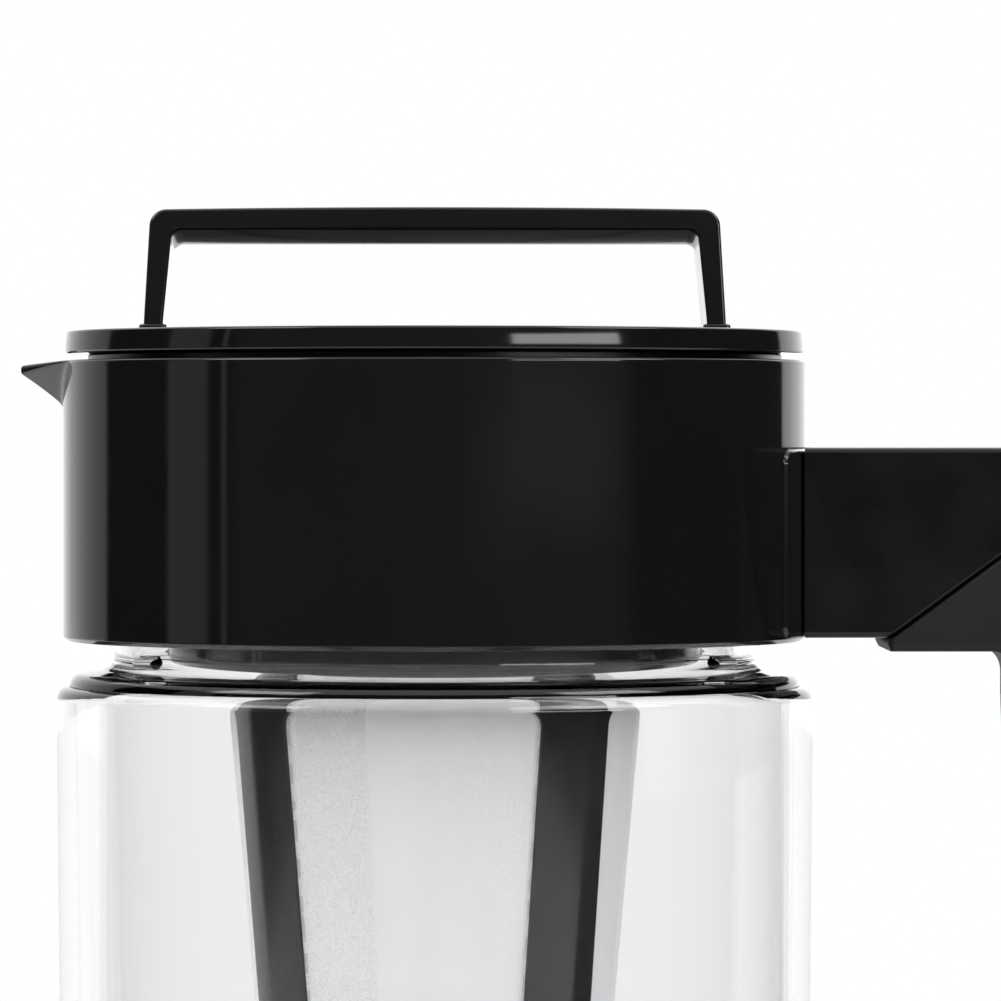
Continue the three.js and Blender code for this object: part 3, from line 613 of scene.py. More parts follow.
# Dark grey and slightly cloudy
silicone = moulded(
    "silicone", marks=(160, 3), shades=(grey(0.028), grey(0.042)),
    roughness=(0.25, 0.75, 0.38, 0.5), ior=1.41, grain=1800, depth=(0.08, 0.05 * MM))


def make_infuser_mesh():
    """Fine woven mesh: pale, slightly uneven threads with see-through gaps."""
    graph = new_material("infuser_mesh")
    place = graph.place()
    x, y, z = graph.parts(place)
    turn = y.sum("ARCTAN2", y, x)
    sway = graph.noise(place, MESH_SWAY, 1)
    rise = graph.noise(place, MESH_RISE, 1)
    across = graph.ripple(turn * (MESH_THREADS_ROUND / (2 * pi)) + sway * MESH_UNEVEN)
    along = graph.ripple(z * (1 / MESH_PITCH) + rise * MESH_UNEVEN)
    hole = (across < MESH_GAP_SHARE / 2) * (along < MESH_GAP_SHARE / 2)
    streaks = graph.noise(place, 160, 3, (1, 1, 0.05))
    return graph.surface({
        "Base Color": graph.blend(streaks, grey(0.86, (1, 0.985, 1)), grey(0.95, (1, 0.99, 1))),
        "Alpha": 1 - hole, "Roughness": 0.5, "IOR": 1.5,
        "Normal": graph.bump(across.sum("MAXIMUM", across, along), 0.25, 0.04 * MM),
    })


def make_screw_steel():
    """Turned steel with fine rings."""
    graph = new_material("screw_steel")
    place = graph.place()
    rings = graph.noise(place, 2400, 2, (1, 0.2, 0.2))
    return graph.surface({
        "Base Color": graph.blend(rings, grey(0.42), grey(0.52)), "Metallic": 1,
        "Roughness": graph.between(rings, 0.25, 0.75, 0.22, 0.38),
        "Normal": graph.bump(rings, 0.15, 0.03 * MM),
    })


# Pitcher and collar

def lug_share(angle, height):
    """How far the round-ended lugs stand out at a place on the neck, from 0 to 1."""
    best = 0
    for centre in LUG_ANGLES:
        along = max(abs(turn_from(angle, centre)) * NECK_RADIUS - (LUG_WIDTH - LUG_HEIGHT) / 2, 0)
        away = hypot(along, height - SHOULDER_TOP - LUG_HEIGHT) / (LUG_HEIGHT / 2 * LUG_FLARE)
        best = max(best, sqrt(max(1 - away ** 2, 0)))
    return best


def clear_pitcher(material):
    step_radius = BODY_RADIUS - SHOULDER_CORNER
    corner_top = SHOULDER_TOP - SHOULDER_RISE - SHOULDER_CORNER
    straight_top = corner_top - SHOULDER_CORNER
    step_top = corner_top + SHOULDER_CORNER
    base_radius = BODY_RADIUS - BODY_DRAFT
    inner_top = step_top - BODY_WALL
    inner_round = SHOULDER_INNER_CORNER
    inner_corner = BASE_CORNER - BODY_WALL
    foot_inner = base_radius - BASE_CORNER - FOOT_RECESS_INSET
    outside = [
        (0, FOOT_RECESS), (foot_inner - FOOT_RECESS, FOOT_RECESS), (foot_inner, 0),
        *arc(base_radius - BASE_CORNER, BASE_CORNER, BASE_CORNER, -QUARTER, 0, 12),
        *zip(spread(base_radius, BODY_RADIUS, 12)[1:-1], spread(BASE_CORNER, straight_top, 12)[1:-1]),
        *arc(step_radius, straight_top, SHOULDER_CORNER, 0, QUARTER, 20),
        *arc(step_radius - SHOULDER_CORNER, corner_top, SHOULDER_CORNER, 0, QUARTER, 20),
        *rounded(NECK_RADIUS, SHOULDER_TOP, NECK_FILLET, 2, 36)[::-1],
    ]
    beyond_fillet = spread(SHOULDER_TOP + NECK_FILLET, COLLAR_BOTTOM, 6)[1:]
    neck = [
        *((NECK_RADIUS, height) for height in beyond_fillet),
        (NECK_RADIUS, BEAD_BOTTOM), (NECK_RADIUS + BEAD_PROUD, BEAD_BOTTOM), (NECK_RADIUS, BEAD_TOP),
        *rounded(NECK_RADIUS, NECK_TOP, RIM_ROUND, 0, 6),
        *rounded(BORE_RADIUS, NECK_TOP, RIM_ROUND, 1, 6),
    ]
    inside = [
        *arc(BORE_RADIUS + BODY_WALL, step_top, BODY_WALL, pi, 3 * QUARTER, 28),
        *rounded(BODY_RADIUS - BODY_WALL, inner_top, inner_round, 0, 14)[::-1],
        *zip(spread(BODY_RADIUS - BODY_WALL, base_radius - BODY_WALL, 12)[1:-1],
             spread(inner_top - inner_round, BASE_THICKNESS + inner_corner, 12)[1:-1]),
        *rounded(base_radius - BODY_WALL, BASE_THICKNESS, inner_corner, 3, 12)[::-1],
        (0, BASE_THICKNESS),
    ]

    def push(angle, radius, height):
        on_lug = SHOULDER_TOP < height < COLLAR_BOTTOM and radius >= NECK_RADIUS - FIT / 2
        return (max(radius, NECK_RADIUS + LUG_PROUD * lug_share(angle, height)) if on_lug else radius), height

    spans = [(centre, LUG_WIDTH / NECK_RADIUS * LUG_FINE_SHARE, 36) for centre in LUG_ANGLES]
    angles = fine_angles(spans, CLEAR_STEPS)
    piece = turned("clear_pitcher", outside + neck + inside, angles=angles, push=push)
    dress(piece, "pitcher", "clear_plastic", material, "pitcher_body")


def beak_radius(angle, height, root_radius, wall):
    """Distance from the axis to the spout's V shaped beak, drawn in by a wall, at an angle and a height."""
    half_width = SPOUT_HALF_WIDTH - wall
    tip = Vector((SPOUT_TIP - wall, 0, COLLAR_TOP - SPOUT_TIP_DROP - SPOUT_TIP_HEIGHT))
    apex = Vector((root_radius, 0, COLLAR_TOP - SPOUT_DEPTH + wall))
    root = Vector((sqrt(root_radius ** 2 - half_width ** 2), half_width, COLLAR_TOP))
    face = (root - apex).cross(tip - apex)
    edge = Vector((half_width, tip.x - root.x, 0))
    turn = abs(turn_from(angle, pi))
    reach = [(normal.dot(tip) - normal.z * height) / (normal.x * cos(turn) + normal.y * sin(turn))
             for normal in (face, edge)]
    return soft_min(*reach, SPOUT_RIDGE_ROUND)


def pad_rise(angle, height):
    """How far the handle's pad stands out of the collar, with its rim rounded."""
    if cos(angle) < 0:
        return 0
    middle = COLLAR_BOTTOM + PAD_UP + PAD_HEIGHT / 2
    across = abs(COLLAR_RADIUS * sin(angle)) - PAD_WIDTH / 2 + PAD_CORNER
    up = abs(height - middle) - PAD_HEIGHT / 2 + PAD_CORNER
    outside = hypot(max(across, 0), max(up, 0)) + min(max(across, up), 0) - PAD_CORNER
    return PAD_PROUD * sqrt(1 - clamp(1 + outside / PAD_EDGE) ** 2)


def outer_collar(material):
    beak_bottom = COLLAR_TOP - SPOUT_DEPTH - SPOUT_ROOT_FILLET
    pad_bottom, pad_top = COLLAR_BOTTOM + PAD_UP, COLLAR_BOTTOM + PAD_UP + PAD_HEIGHT
    wall_heights = stepped(
        COLLAR_BOTTOM + COLLAR_LIP, (pad_bottom + PAD_CORNER, 14), (pad_top - PAD_CORNER, 10),
        (pad_top + FIT, 14), (beak_bottom, 3), (COLLAR_TOP - COLLAR_TOP_ROUND, 32))[1:-1]
    lip = [
        (COLLAR_INNER, COLLAR_BOTTOM),
        *arc(COLLAR_RADIUS - COLLAR_LIP - FIT / 2, COLLAR_BOTTOM + FIT / 2, FIT / 2,
             -QUARTER, -QUARTER / 2, 3),
        *arc(COLLAR_RADIUS - FIT / 2, COLLAR_BOTTOM + COLLAR_LIP, FIT / 2, -QUARTER / 2, 0, 3),
    ]
    top = [
        *rounded(COLLAR_RADIUS, COLLAR_TOP, COLLAR_TOP_ROUND, 0),
        *rounded(COLLAR_INNER, COLLAR_TOP, FIT, 1, 4),
    ]
    inner_heights = spread(COLLAR_TOP - FIT, COLLAR_TOP - SPOUT_DEPTH + SPOUT_WALL / 2, 24)[1:]
    inside = [
        *((COLLAR_INNER, height) for height in inner_heights),
        (COLLAR_INNER, SNAP_RIB_TOP), (NECK_RADIUS + FIT, SNAP_RIB_TOP),
        (NECK_RADIUS + FIT, SNAP_RIB_TOP - SNAP_RIB_HEIGHT), (COLLAR_INNER, SNAP_RIB_TOP - SNAP_RIB_HEIGHT),
    ]
    profile = lip + [(COLLAR_RADIUS, height) for height in wall_heights] + top + inside
    half_turn = asin(SPOUT_HALF_WIDTH / COLLAR_RADIUS) + SPOUT_ROOT_FILLET / COLLAR_RADIUS

    def push(angle, radius, height):
        if abs(turn_from(angle, pi)) >= half_turn or height <= beak_bottom:
            return radius + (pad_rise(angle, height) if radius == COLLAR_RADIUS else 0), height
        if radius > COLLAR_INNER + COLLAR_WALL / 3:
            wall_radius = COLLAR_RADIUS
            beak = beak_radius(angle, height, COLLAR_RADIUS, 0)
            pushed = soft_max(COLLAR_RADIUS, beak, SPOUT_ROOT_FILLET) - (COLLAR_RADIUS - radius)
        else:
            wall_radius = COLLAR_INNER
            channel = beak_radius(angle, height, COLLAR_INNER, SPOUT_WALL)
            pushed = max(radius, channel - COLLAR_INNER + radius)
        share = clamp((pushed - wall_radius) / (SPOUT_TIP - COLLAR_RADIUS))
        return pushed, height - SPOUT_TIP_DROP * share * ease(beak_bottom, COLLAR_TOP, height)

    pad_side = asin(PAD_WIDTH / 2 / COLLAR_RADIUS)
    corner_turn = PAD_CORNER / COLLAR_RADIUS
    angles = fine_angles([
        (pi, half_turn * SPOUT_FINE_SHARE, 110),
        (pad_side - corner_turn / 2, corner_turn, 22), (-pad_side + corner_turn / 2, corner_turn, 22),
    ])
    piece = turned("outer_collar", profile, angles=angles, push=push)
    combine(piece, "DIFFERENCE", *(rod_x("hole", SCREW_HOLE, BORE_RADIUS, HANDLE_REACH, height)
                                   for height in SCREW_HEIGHTS))
    dress(piece, "pitcher", "gloss_black", material, "collar_shell")


def inner_liner(material):
    edge = FIT
    top = HIGH["collar_liner"].z
    piece = turned("inner_liner", [
        (NECK_RADIUS + FIT, BEAD_TOP + FIT), (LINER_OUTER - edge, BEAD_TOP + FIT),
        (LINER_OUTER, BEAD_TOP + FIT + edge),
        *rounded(LINER_OUTER, LINER_LIP_TOP, edge, 0, 4),
        *rounded(LINER_TUBE_OUTER, LINER_LIP_TOP, edge, 2, 4)[::-1],
        *rounded(LINER_TUBE_OUTER, top, edge, 0, 4),
        *rounded(BORE_RADIUS, top, edge, 1, 4),
        (BORE_RADIUS, LINER_LIP_BOTTOM), (NECK_RADIUS + FIT, LINER_LIP_BOTTOM),
    ])
    inner_half = LINER_WINDOW / 2
    outer_half = inner_half + CHANNEL_WALL
    wall_start = LINER_TUBE_OUTER - LINER_LIP / 2
    wall_end = sqrt(LINER_OUTER ** 2 - outer_half ** 2)
    wall_root = sqrt(wall_start ** 2 - outer_half ** 2)
    for side in (-1, 1):
        sides = sorted((side * inner_half, side * outer_half))
        wall = rounded_box(-wall_end, sides[0], -wall_root, sides[1], edge, 4)
        combine(piece, "UNION", drawn("wall", wall, LINER_LIP_TOP - LINER_LIP / 2, top - edge / 4, 2))
    window = rounded_box(-inner_half, LINER_LIP_TOP, inner_half, top + LINER_WINDOW, 3 * edge, 6)
    pocket_top = SCREW_HEIGHTS[1] + SCREW_HEAD + FIT
    pocket = [(-SCREW_POCKET_HALF, BEAD_TOP), (SCREW_POCKET_HALF, BEAD_TOP),
              (SCREW_POCKET_HALF, pocket_top), (-SCREW_POCKET_HALF, pocket_top)]
    combine(piece, "DIFFERENCE", drawn("window", window, -LINER_OUTER, -BORE_RADIUS / 2, 0),
            drawn("pocket", pocket, LINER_OUTER - SCREW_HEAD_HEIGHT - 2 * FIT, COLLAR_RADIUS, 0))
    dress(piece, "pitcher", "satin_black", material, "collar_liner")


def gasket(name, node, inner, body, material, lips=0):
    """Seal ring with round edges, and lips round its outside if it wipes a bore."""
    outer, bottom, top = HIGH[node].y, LOW[node].z, HIGH[node].z
    edge = min(top - bottom, outer - inner) * GASKET_ROUND_SHARE
    if lips:
        pitch = (top - bottom) / lips
        side = []
        for i in range(lips):
            middle = bottom + (i + 0.5) * pitch
            side += arc(outer - pitch / 2, middle, pitch / 2, -GASKET_LIP_TURN, GASKET_LIP_TURN)
        rim = [(outer - pitch, bottom), *side, (outer - pitch, top)]
    else:
        rim = rounded(outer, bottom, edge, 3) + rounded(outer, top, edge, 0)
    hole = rounded(inner, top, edge / 2, 1, 4) + rounded(inner, bottom, edge / 2, 2, 4)
    dress(turned(name, rim + hole), body, "silicone", material, node)


# Handle

def seam_height(x):
    return ARM_BOTTOM + (x - SEAM_START) * tan(SEAM_ANGLE)


def seam_half(side, margin):
    """Block on one side of the slanted seam between arm and rubber."""
    shift = side * margin / cos(SEAM_ANGLE)
    reach = HANDLE_REACH + OVERRUN
    far = HANDLE_REACH * 3 if side > 0 else -HANDLE_REACH
    outline = [(-OVERRUN, seam_height(-OVERRUN) + shift), (reach, seam_height(reach) + shift),
               (reach, far), (-OVERRUN, far)]
    return drawn("half", outline, -COLLAR_RADIUS, COLLAR_RADIUS, 1)


def ease_rim(piece, side, margin, radius):
    """Rounds the rim of a piece where the slanted seam cuts it."""
    normal = Vector((sin(SEAM_ANGLE), 0, -cos(SEAM_ANGLE))) * side
    point = Vector((SEAM_START, 0, ARM_BOTTOM)) - normal * margin
    form = bmesh.new()
    form.from_mesh(piece.data)
    depths = [radius * (1 - cos(turn)) for turn in spread(0, QUARTER, SEAM_STEPS)]
    for depth in reversed(depths):
        geometry = [*form.verts, *form.edges, *form.faces]
        bmesh.ops.bisect_plane(form, geom=geometry, dist=TOUCHING, plane_co=point - normal * depth,
                               plane_no=normal, clear_outer=depth == 0)
    form.normal_update()
    moves = []
    for vertex in form.verts:
        depth = (point - vertex.co).dot(normal)
        if depth < radius - TOUCHING:
            outward = vertex.normal - normal * vertex.normal.dot(normal)
            shrink = radius - sqrt(max(radius ** 2 - (radius - depth) ** 2, 0))
            moves.append((vertex, outward.normalized() * shrink))
    for vertex, move in moves:
        vertex.co -= move
    rim = [edge for edge in form.edges if edge.is_boundary]
    bmesh.ops.holes_fill(form, edges=rim, sides=0)
    bmesh.ops.recalc_face_normals(form, faces=form.faces)
    form.to_mesh(piece.data)
    form.free()


def grip_core(grow):
    """Stiff core inside the rubber, grown by a clearance for the hollow round it."""
    inner = GRIP_INNER + SLEEVE_WALL + FIT - grow
    outer = HANDLE_REACH - SLEEVE_WALL - FIT + grow
    bottom = SLEEVE_BOTTOM + SLEEVE_WALL + FIT - grow
    foot = GRIP_FOOT + SLEEVE_FLOOR + FIT - grow
    start = SEAM_START - SLEEVE_WALL
    elbow_half = SLEEVE_HALF - SLEEVE_WALL - FIT + grow
    elbow = drawn("core", [(start, bottom), (inner, bottom), (inner, bottom - SLEEVE_WALL),
                           (outer, bottom - SLEEVE_WALL), (outer, ARM_TOP - ARM_WALL / 2),
                           (start, ARM_TOP - ARM_WALL / 2)], -elbow_half, elbow_half, 1)
    combine(elbow, "INTERSECT", seam_half(-1, -ARM_WALL / 2))
    half = GRIP_HALF - SLEEVE_WALL - FIT + grow
    section = rounded_box(inner, -half, outer, half, GRIP_EDGE - SLEEVE_WALL)
    return combine(elbow, "UNION", drawn("core", section, foot, bottom + SLEEVE_WALL, 2))


def handle_arm(material):
    outline = [(BORE_RADIUS / 2, ARM_BOTTOM), (HANDLE_REACH, ARM_BOTTOM),
               *rounded(HANDLE_REACH, ARM_TOP, HANDLE_CORNER, 0, 16), (BORE_RADIUS / 2, ARM_TOP)]
    piece = slab("handle_arm", outline, ARM_HALF, ARM_EDGE)
    ease_rim(piece, 1, FIT / 2, SEAM_ROUND)
    hollow_end = HANDLE_REACH - SLEEVE_WALL - 2 * ARM_WALL
    hollow = drawn("hollow", [(0, ARM_BOTTOM + ARM_WALL), (hollow_end, ARM_BOTTOM + ARM_WALL),
                              (hollow_end, ARM_TOP - ARM_WALL), (0, ARM_TOP - ARM_WALL)],
                   -ARM_HALF + ARM_WALL, ARM_HALF - ARM_WALL, 1)
    combine(hollow, "INTERSECT", seam_half(1, ARM_WALL))
    combine(piece, "UNION", grip_core(0))
    combine(piece, "DIFFERENCE", hollow)
    for height in SCREW_HEIGHTS:
        end = SEAM_START + (height - ARM_BOTTOM) / tan(SEAM_ANGLE) - ARM_WALL / sin(SEAM_ANGLE) + FIT
        boss = rod_x("boss", BOSS_RADIUS, COLLAR_INNER, min(end, hollow_end + ARM_WALL), height)
        combine(piece, "UNION", boss)
    depth = LINER_OUTER + SCREW_LENGTH + FIT
    holes = [rod_x("hole", SCREW_HOLE, 0, depth, height) for height in SCREW_HEIGHTS]
    saddle = COLLAR_RADIUS + PAD_PROUD + FIT
    above = COLLAR_TOP + OVERRUN
    combine(piece, "DIFFERENCE", turned("saddle", [(0, 0), (saddle, 0), (saddle, above), (0, above)]), *holes)
    dress(piece, "pitcher", "satin_black", material, "handle_frame")


def rubber_sleeve(material):
    overlap = GRIP_FILLET
    outline = [
        (SEAM_START, SLEEVE_BOTTOM), (GRIP_INNER - GRIP_FILLET, SLEEVE_BOTTOM),
        *rounded(GRIP_INNER, SLEEVE_BOTTOM, GRIP_FILLET, 0, 10)[::-1],
        (GRIP_INNER, SLEEVE_BOTTOM - GRIP_FILLET - overlap),
        (HANDLE_REACH, SLEEVE_BOTTOM - GRIP_FILLET - overlap),
        *rounded(HANDLE_REACH, ARM_TOP, HANDLE_CORNER, 0, 16),
        (SEAM_START - SLEEVE_LEAN, ARM_TOP), (SEAM_START - SLEEVE_LEAN, ARM_BOTTOM),
    ]
    piece = slab("rubber_sleeve", outline, SLEEVE_HALF, SLEEVE_EDGE)
    ease_rim(piece, -1, FIT / 2, SEAM_ROUND)
    rings = []
    neck_top = SLEEVE_BOTTOM - GRIP_FILLET
    heights = [GRIP_FOOT + GRIP_FOOT_CORNER * (1 - cos(t)) for t in spread(0, QUARTER, 12)]
    heights += stepped(heights[-1], (neck_top - GRIP_NECK, 12), (neck_top - overlap / 2, 12))[1:]
    for height in heights:
        drop = max(GRIP_FOOT_CORNER - (height - GRIP_FOOT), 0)
        draw = GRIP_FOOT_CORNER - sqrt(max(GRIP_FOOT_CORNER ** 2 - drop ** 2, 0))
        share = ease(neck_top - GRIP_NECK, neck_top - overlap, height)
        swell = (SLEEVE_HALF - FIT / 10 - GRIP_HALF) * share
        half = GRIP_HALF + swell - draw * GRIP_FOOT_ROUND / GRIP_FOOT_CORNER
        round_edge = GRIP_EDGE + (SLEEVE_EDGE - GRIP_EDGE) * share
        slight = FIT / 10 * share
        ring = rounded_box(GRIP_INNER + draw + slight, -half, HANDLE_REACH - draw - slight, half,
                           min(round_edge, half * FULL_ROUND))
        rings.append([(x, y, height) for x, y in ring])
    combine(piece, "UNION", loft("grip", rings))
    combine(piece, "DIFFERENCE", grip_core(FIT))
    dress(piece, "pitcher", "grip_rubber", material, "grip_sleeve")


# Lid

def lid_disc(material):
    ring_outer = DRUM_INNER - FIT
    ring_inner = ring_outer - LID_RING_WALL
    edge = LID_EDGE
    lean = LID_LEAN
    dish = LID_DISH_DEPTH
    piece = turned("lid_disc", [
        (0, LID_BOTTOM), (ring_inner, LID_BOTTOM), (ring_inner, LID_BOTTOM - LID_RING_HEIGHT),
        (ring_outer, LID_BOTTOM - LID_RING_HEIGHT), (ring_outer, LID_BOTTOM),
        *rounded(LID_RADIUS, LID_BOTTOM, edge, 3),
        *((LID_RADIUS - lean * share ** 2, LID_BOTTOM + edge + (LID_THICKNESS - 2 * edge) * share)
          for share in spread(0, 1, 8)[1:-1]),
        *rounded(LID_RADIUS - lean, LID_TOP, edge, 0),
        (LID_DISH_RADIUS + dish, LID_TOP),
        *arc(LID_DISH_RADIUS, LID_TOP - dish, dish, QUARTER, 0, 6)[1:-1],
        (LID_DISH_RADIUS - dish, LID_TOP - dish), (0, LID_TOP - dish),
    ])
    outer = BAIL_HALF_FOOT + FIT
    inner = BAIL_HALF_FOOT - BAIL_LEG_FOOT - FIT
    half = BAIL_DEPTH / 2 + FIT
    for sides in ((inner, outer), (-outer, -inner)):
        slot = rounded_box(sides[0], -half, sides[1], half, 2 * FIT, 4)
        combine(piece, "DIFFERENCE", drawn("slot", slot, LID_BOTTOM - OVERRUN, LID_TOP + OVERRUN, 2))
    dress(piece, "lid", "gloss_black", material, "lid_cover")


def bail_paths(y):
    """Outer and inner edge of the bail at one depth, as matching points from one foot to the other."""
    depth_share = (y + BAIL_DEPTH / 2) / BAIL_DEPTH
    bottom = LID_BOTTOM + FIT
    shoulder = BAIL_TOP - BAIL_CROWN - BAIL_OUTER_CORNER
    ceiling = BAIL_TOP - BAIL_BAR - BAIL_BAR_BELLY * (1 - abs(2 * depth_share - 1) ** BAIL_BELLY_POWER)
    inner_top = BAIL_HALF_TOP - BAIL_LEG_TOP
    inner_foot = BAIL_HALF_FOOT - BAIL_LEG_FOOT
    foot_top = LID_TOP + FIT + BAIL_FOOT
    outer, inner = [], []
    for share in spread(0, 1, 10):
        height = bottom + (shoulder - bottom) * share
        inner_height = bottom + (ceiling - BAIL_INNER_CORNER - bottom) * share
        lean = clamp((height - foot_top) / (shoulder - foot_top))
        outer.append((BAIL_HALF_FOOT + (BAIL_HALF_TOP - BAIL_HALF_FOOT) * lean, height))
        inner.append((inner_foot + (inner_top - inner_foot) * lean, inner_height))
    outer += arc(BAIL_HALF_TOP - BAIL_OUTER_CORNER, shoulder, BAIL_OUTER_CORNER, 0, QUARTER, 12)[1:]
    inner += rounded(inner_top, ceiling, BAIL_INNER_CORNER, 0, 12)[1:]
    for across in spread(1, 0, 8)[1:]:
        outer.append((across * (BAIL_HALF_TOP - BAIL_OUTER_CORNER), BAIL_TOP - BAIL_CROWN * across ** 2))
        inner.append((across * (inner_top - BAIL_INNER_CORNER), ceiling))
    outer += [(-x, z) for x, z in reversed(outer[:-1])]
    inner += [(-x, z) for x, z in reversed(inner[:-1])]
    return outer, inner


def bail(material):
    edge = BAIL_EDGE
    half = BAIL_DEPTH / 2
    middle = [(y, 0) for y in spread(-half + edge, half - edge, 16)[1:-1]]
    section = rounded(-half, 0, edge, 2, 6) + middle + rounded(half, 0, edge, 3, 6)
    paths = [bail_paths(y) for y, _ in section]
    rings = []
    for i in range(len(paths[0][0])):
        outer_side, inner_side = [], []
        for (y, drop), (outer, inner) in zip(section, paths):
            start, end = Vector(outer[i]), Vector(inner[i])
            away = (end - start).normalized() * drop
            near, far = start + away, end - away
            outer_side.append((near.x, y, near.y))
            inner_side.append((far.x, y, far.y))
        rings.append(outer_side + inner_side[::-1])
    piece = loft("bail", rings)
    foot_inner = BAIL_HALF_FOOT - BAIL_LEG_FOOT - BAIL_FOOT
    foot_outer = BAIL_HALF_FOOT + BAIL_FOOT
    low, high = LID_TOP + FIT / 10, LID_TOP + FIT + BAIL_FOOT
    for sides in ((foot_inner, foot_outer), (-foot_outer, -foot_inner)):
        rings = []
        for turn in spread(0, QUARTER, 5):
            shrink = FIT * (1 - cos(turn))
            outline = rounded_box(sides[0] + shrink, -half - BAIL_FOOT + shrink, sides[1] - shrink,
                                  half + BAIL_FOOT - shrink, 2 * FIT)
            rings.append([(x, y, high - FIT + FIT * sin(turn)) for x, y in outline])
        rings.insert(0, [(x, y, low) for x, y, _ in rings[0]])
        combine(piece, "UNION", loft("foot", rings))
    dress(piece, "lid", "gloss_black", material, "bail_handle")


def thread_ridges(piece, root, tip, height):
    """Joins short screw ridges with tapered ends, spread evenly round the axis, to a piece."""
    for start in range(THREAD_STARTS):
        rings = []
        for share in spread(0, 1, THREAD_STEPS):
            turn = (share - 0.5) * THREAD_SWEEP
            angle = turn + 2 * pi * start / THREAD_STARTS
            middle = height + THREAD_LEAD * turn / (2 * pi)
            tapered = ease(0, THREAD_TAPER_SHARE, min(share, 1 - share)) * (1 - THREAD_END_SHARE)
            crest = root + (tip - root) * (tapered + THREAD_END_SHARE)
            half_root = THREAD_HEIGHT / 2
            half_tip = half_root * THREAD_TIP_SHARE
            section = [(root, -half_root), (crest, -half_tip), (crest, half_tip), (root, half_root)]
            rings.append([(r * cos(angle), r * sin(angle), middle + up) for r, up in section])
        combine(piece, "UNION", loft("ridge", rings))


def stopper_drum(material):
    body = DRUM_RADIUS - DRUM_RELIEF
    groove = DRUM_RADIUS - PLUG_SEAL_THICKNESS - FIT
    groove_wall = groove - DRUM_WALL
    groove_top, groove_bottom = HIGH["plug_gasket"].z + FIT, LOW["plug_gasket"].z - FIT
    flange = HIGH["cover_gasket"].y + FIT
    flange_top = LID_BOTTOM - FIT / 10
    flange_bottom = DRUM_TOP - DRUM_FLANGE
    floor_top = DRUM_BOTTOM + DRUM_FLOOR
    spigot_inner = SPIGOT_RADIUS - SPIGOT_WALL
    edge = FIT
    piece = turned("stopper_drum", [
        (0, DRUM_BOTTOM), (spigot_inner, DRUM_BOTTOM),
        *rounded(spigot_inner, SPIGOT_BOTTOM, 2 * edge, 2, 5),
        *rounded(SPIGOT_RADIUS, SPIGOT_BOTTOM, 2 * edge, 3, 5),
        (SPIGOT_RADIUS, DRUM_BOTTOM),
        *rounded(body, DRUM_BOTTOM, DRUM_CORNER, 3),
        (body, groove_bottom - edge), (body - edge, groove_bottom), (groove, groove_bottom),
        (groove, groove_top), (body - edge, groove_top), (body, groove_top + edge),
        (body, LINER_LIP_BOTTOM), (DRUM_RADIUS, LINER_LIP_BOTTOM + DRUM_RELIEF), (DRUM_RADIUS, flange_bottom),
        *rounded(flange, flange_bottom, edge, 3, 4),
        *rounded(flange, flange_top, edge, 0, 4),
        (DRUM_INNER, flange_top), (DRUM_INNER, groove_top + DRUM_WALL), (groove_wall, groove_top),
        *rounded(groove_wall, floor_top, DRUM_CORNER, 3)[::-1], (0, floor_top),
    ])
    port_top = HIGH["collar_liner"].z - FIT
    port = rounded_box(-PORT_WIDTH / 2, LINER_LIP_TOP + FIT, PORT_WIDTH / 2, port_top, 4 * FIT, 6)
    combine(piece, "DIFFERENCE", drawn("port", port, 0, COLLAR_RADIUS, 1))
    slot_bottom = floor_top + DRUM_CORNER
    half = STRAINER_WIDTH / 2
    slot_top = slot_bottom + STRAINER_HEIGHT
    for i in range(STRAINER_COUNT):
        centre = (i - (STRAINER_COUNT - 1) / 2) * STRAINER_PITCH
        slot = rounded_box(centre - half, slot_bottom, centre + half, slot_top, half * FULL_ROUND)
        combine(piece, "DIFFERENCE", drawn("slot", slot, SPIGOT_RADIUS, COLLAR_RADIUS, 1))
    thread_ridges(piece, SPIGOT_RADIUS - SPIGOT_WALL / 2, SPIGOT_RADIUS + THREAD_PROUD,
                  SPIGOT_BOTTOM + SPIGOT_RIDGE_UP)
    dress(piece, "lid", "satin_black", material, "plug_drum")


# Infuser

def cone_radius(height):
    share = (height - WINDOW_BOTTOM) / (CONE_TOP - WINDOW_BOTTOM)
    return INFUSER_FOOT + (INFUSER_RADIUS - INFUSER_FOOT) * min(share, 1)


def curved_sheet(name, ribs, inner_depth, outer_depth, corner):
    """Sheet in the window between two ribs that follows the cone, its depths measured inwards."""
    bottom, top = WINDOW_BOTTOM, WINDOW_TOP
    heights = spread(bottom, top, WINDOW_STEPS)
    if corner:
        rise = [corner * (1 - cos(turn)) for turn in spread(0, QUARTER, CORNER_STEPS)]
        heights = ([bottom + up for up in rise] + spread(bottom + corner, top - corner, WINDOW_STEPS)[1:-1]
                   + [top - up for up in reversed(rise)])
    rings = []
    for height in heights:
        near = min(height - bottom, top - height)
        inward = corner - sqrt(max(corner ** 2 - (corner - near) ** 2, 0)) if near < corner else 0
        radius = cone_radius(height)
        margin = asin((RIB_WIDTH / 2 + inward) / radius)
        angles = spread(ribs[0] + margin, ribs[1] - margin, WINDOW_STEPS)
        front, back = ([(r * cos(a), r * sin(a), height) for a in angles]
                       for r in (radius - outer_depth, radius - inner_depth))
        rings.append(front + back[::-1])
    return loft(name, rings, strips=True)


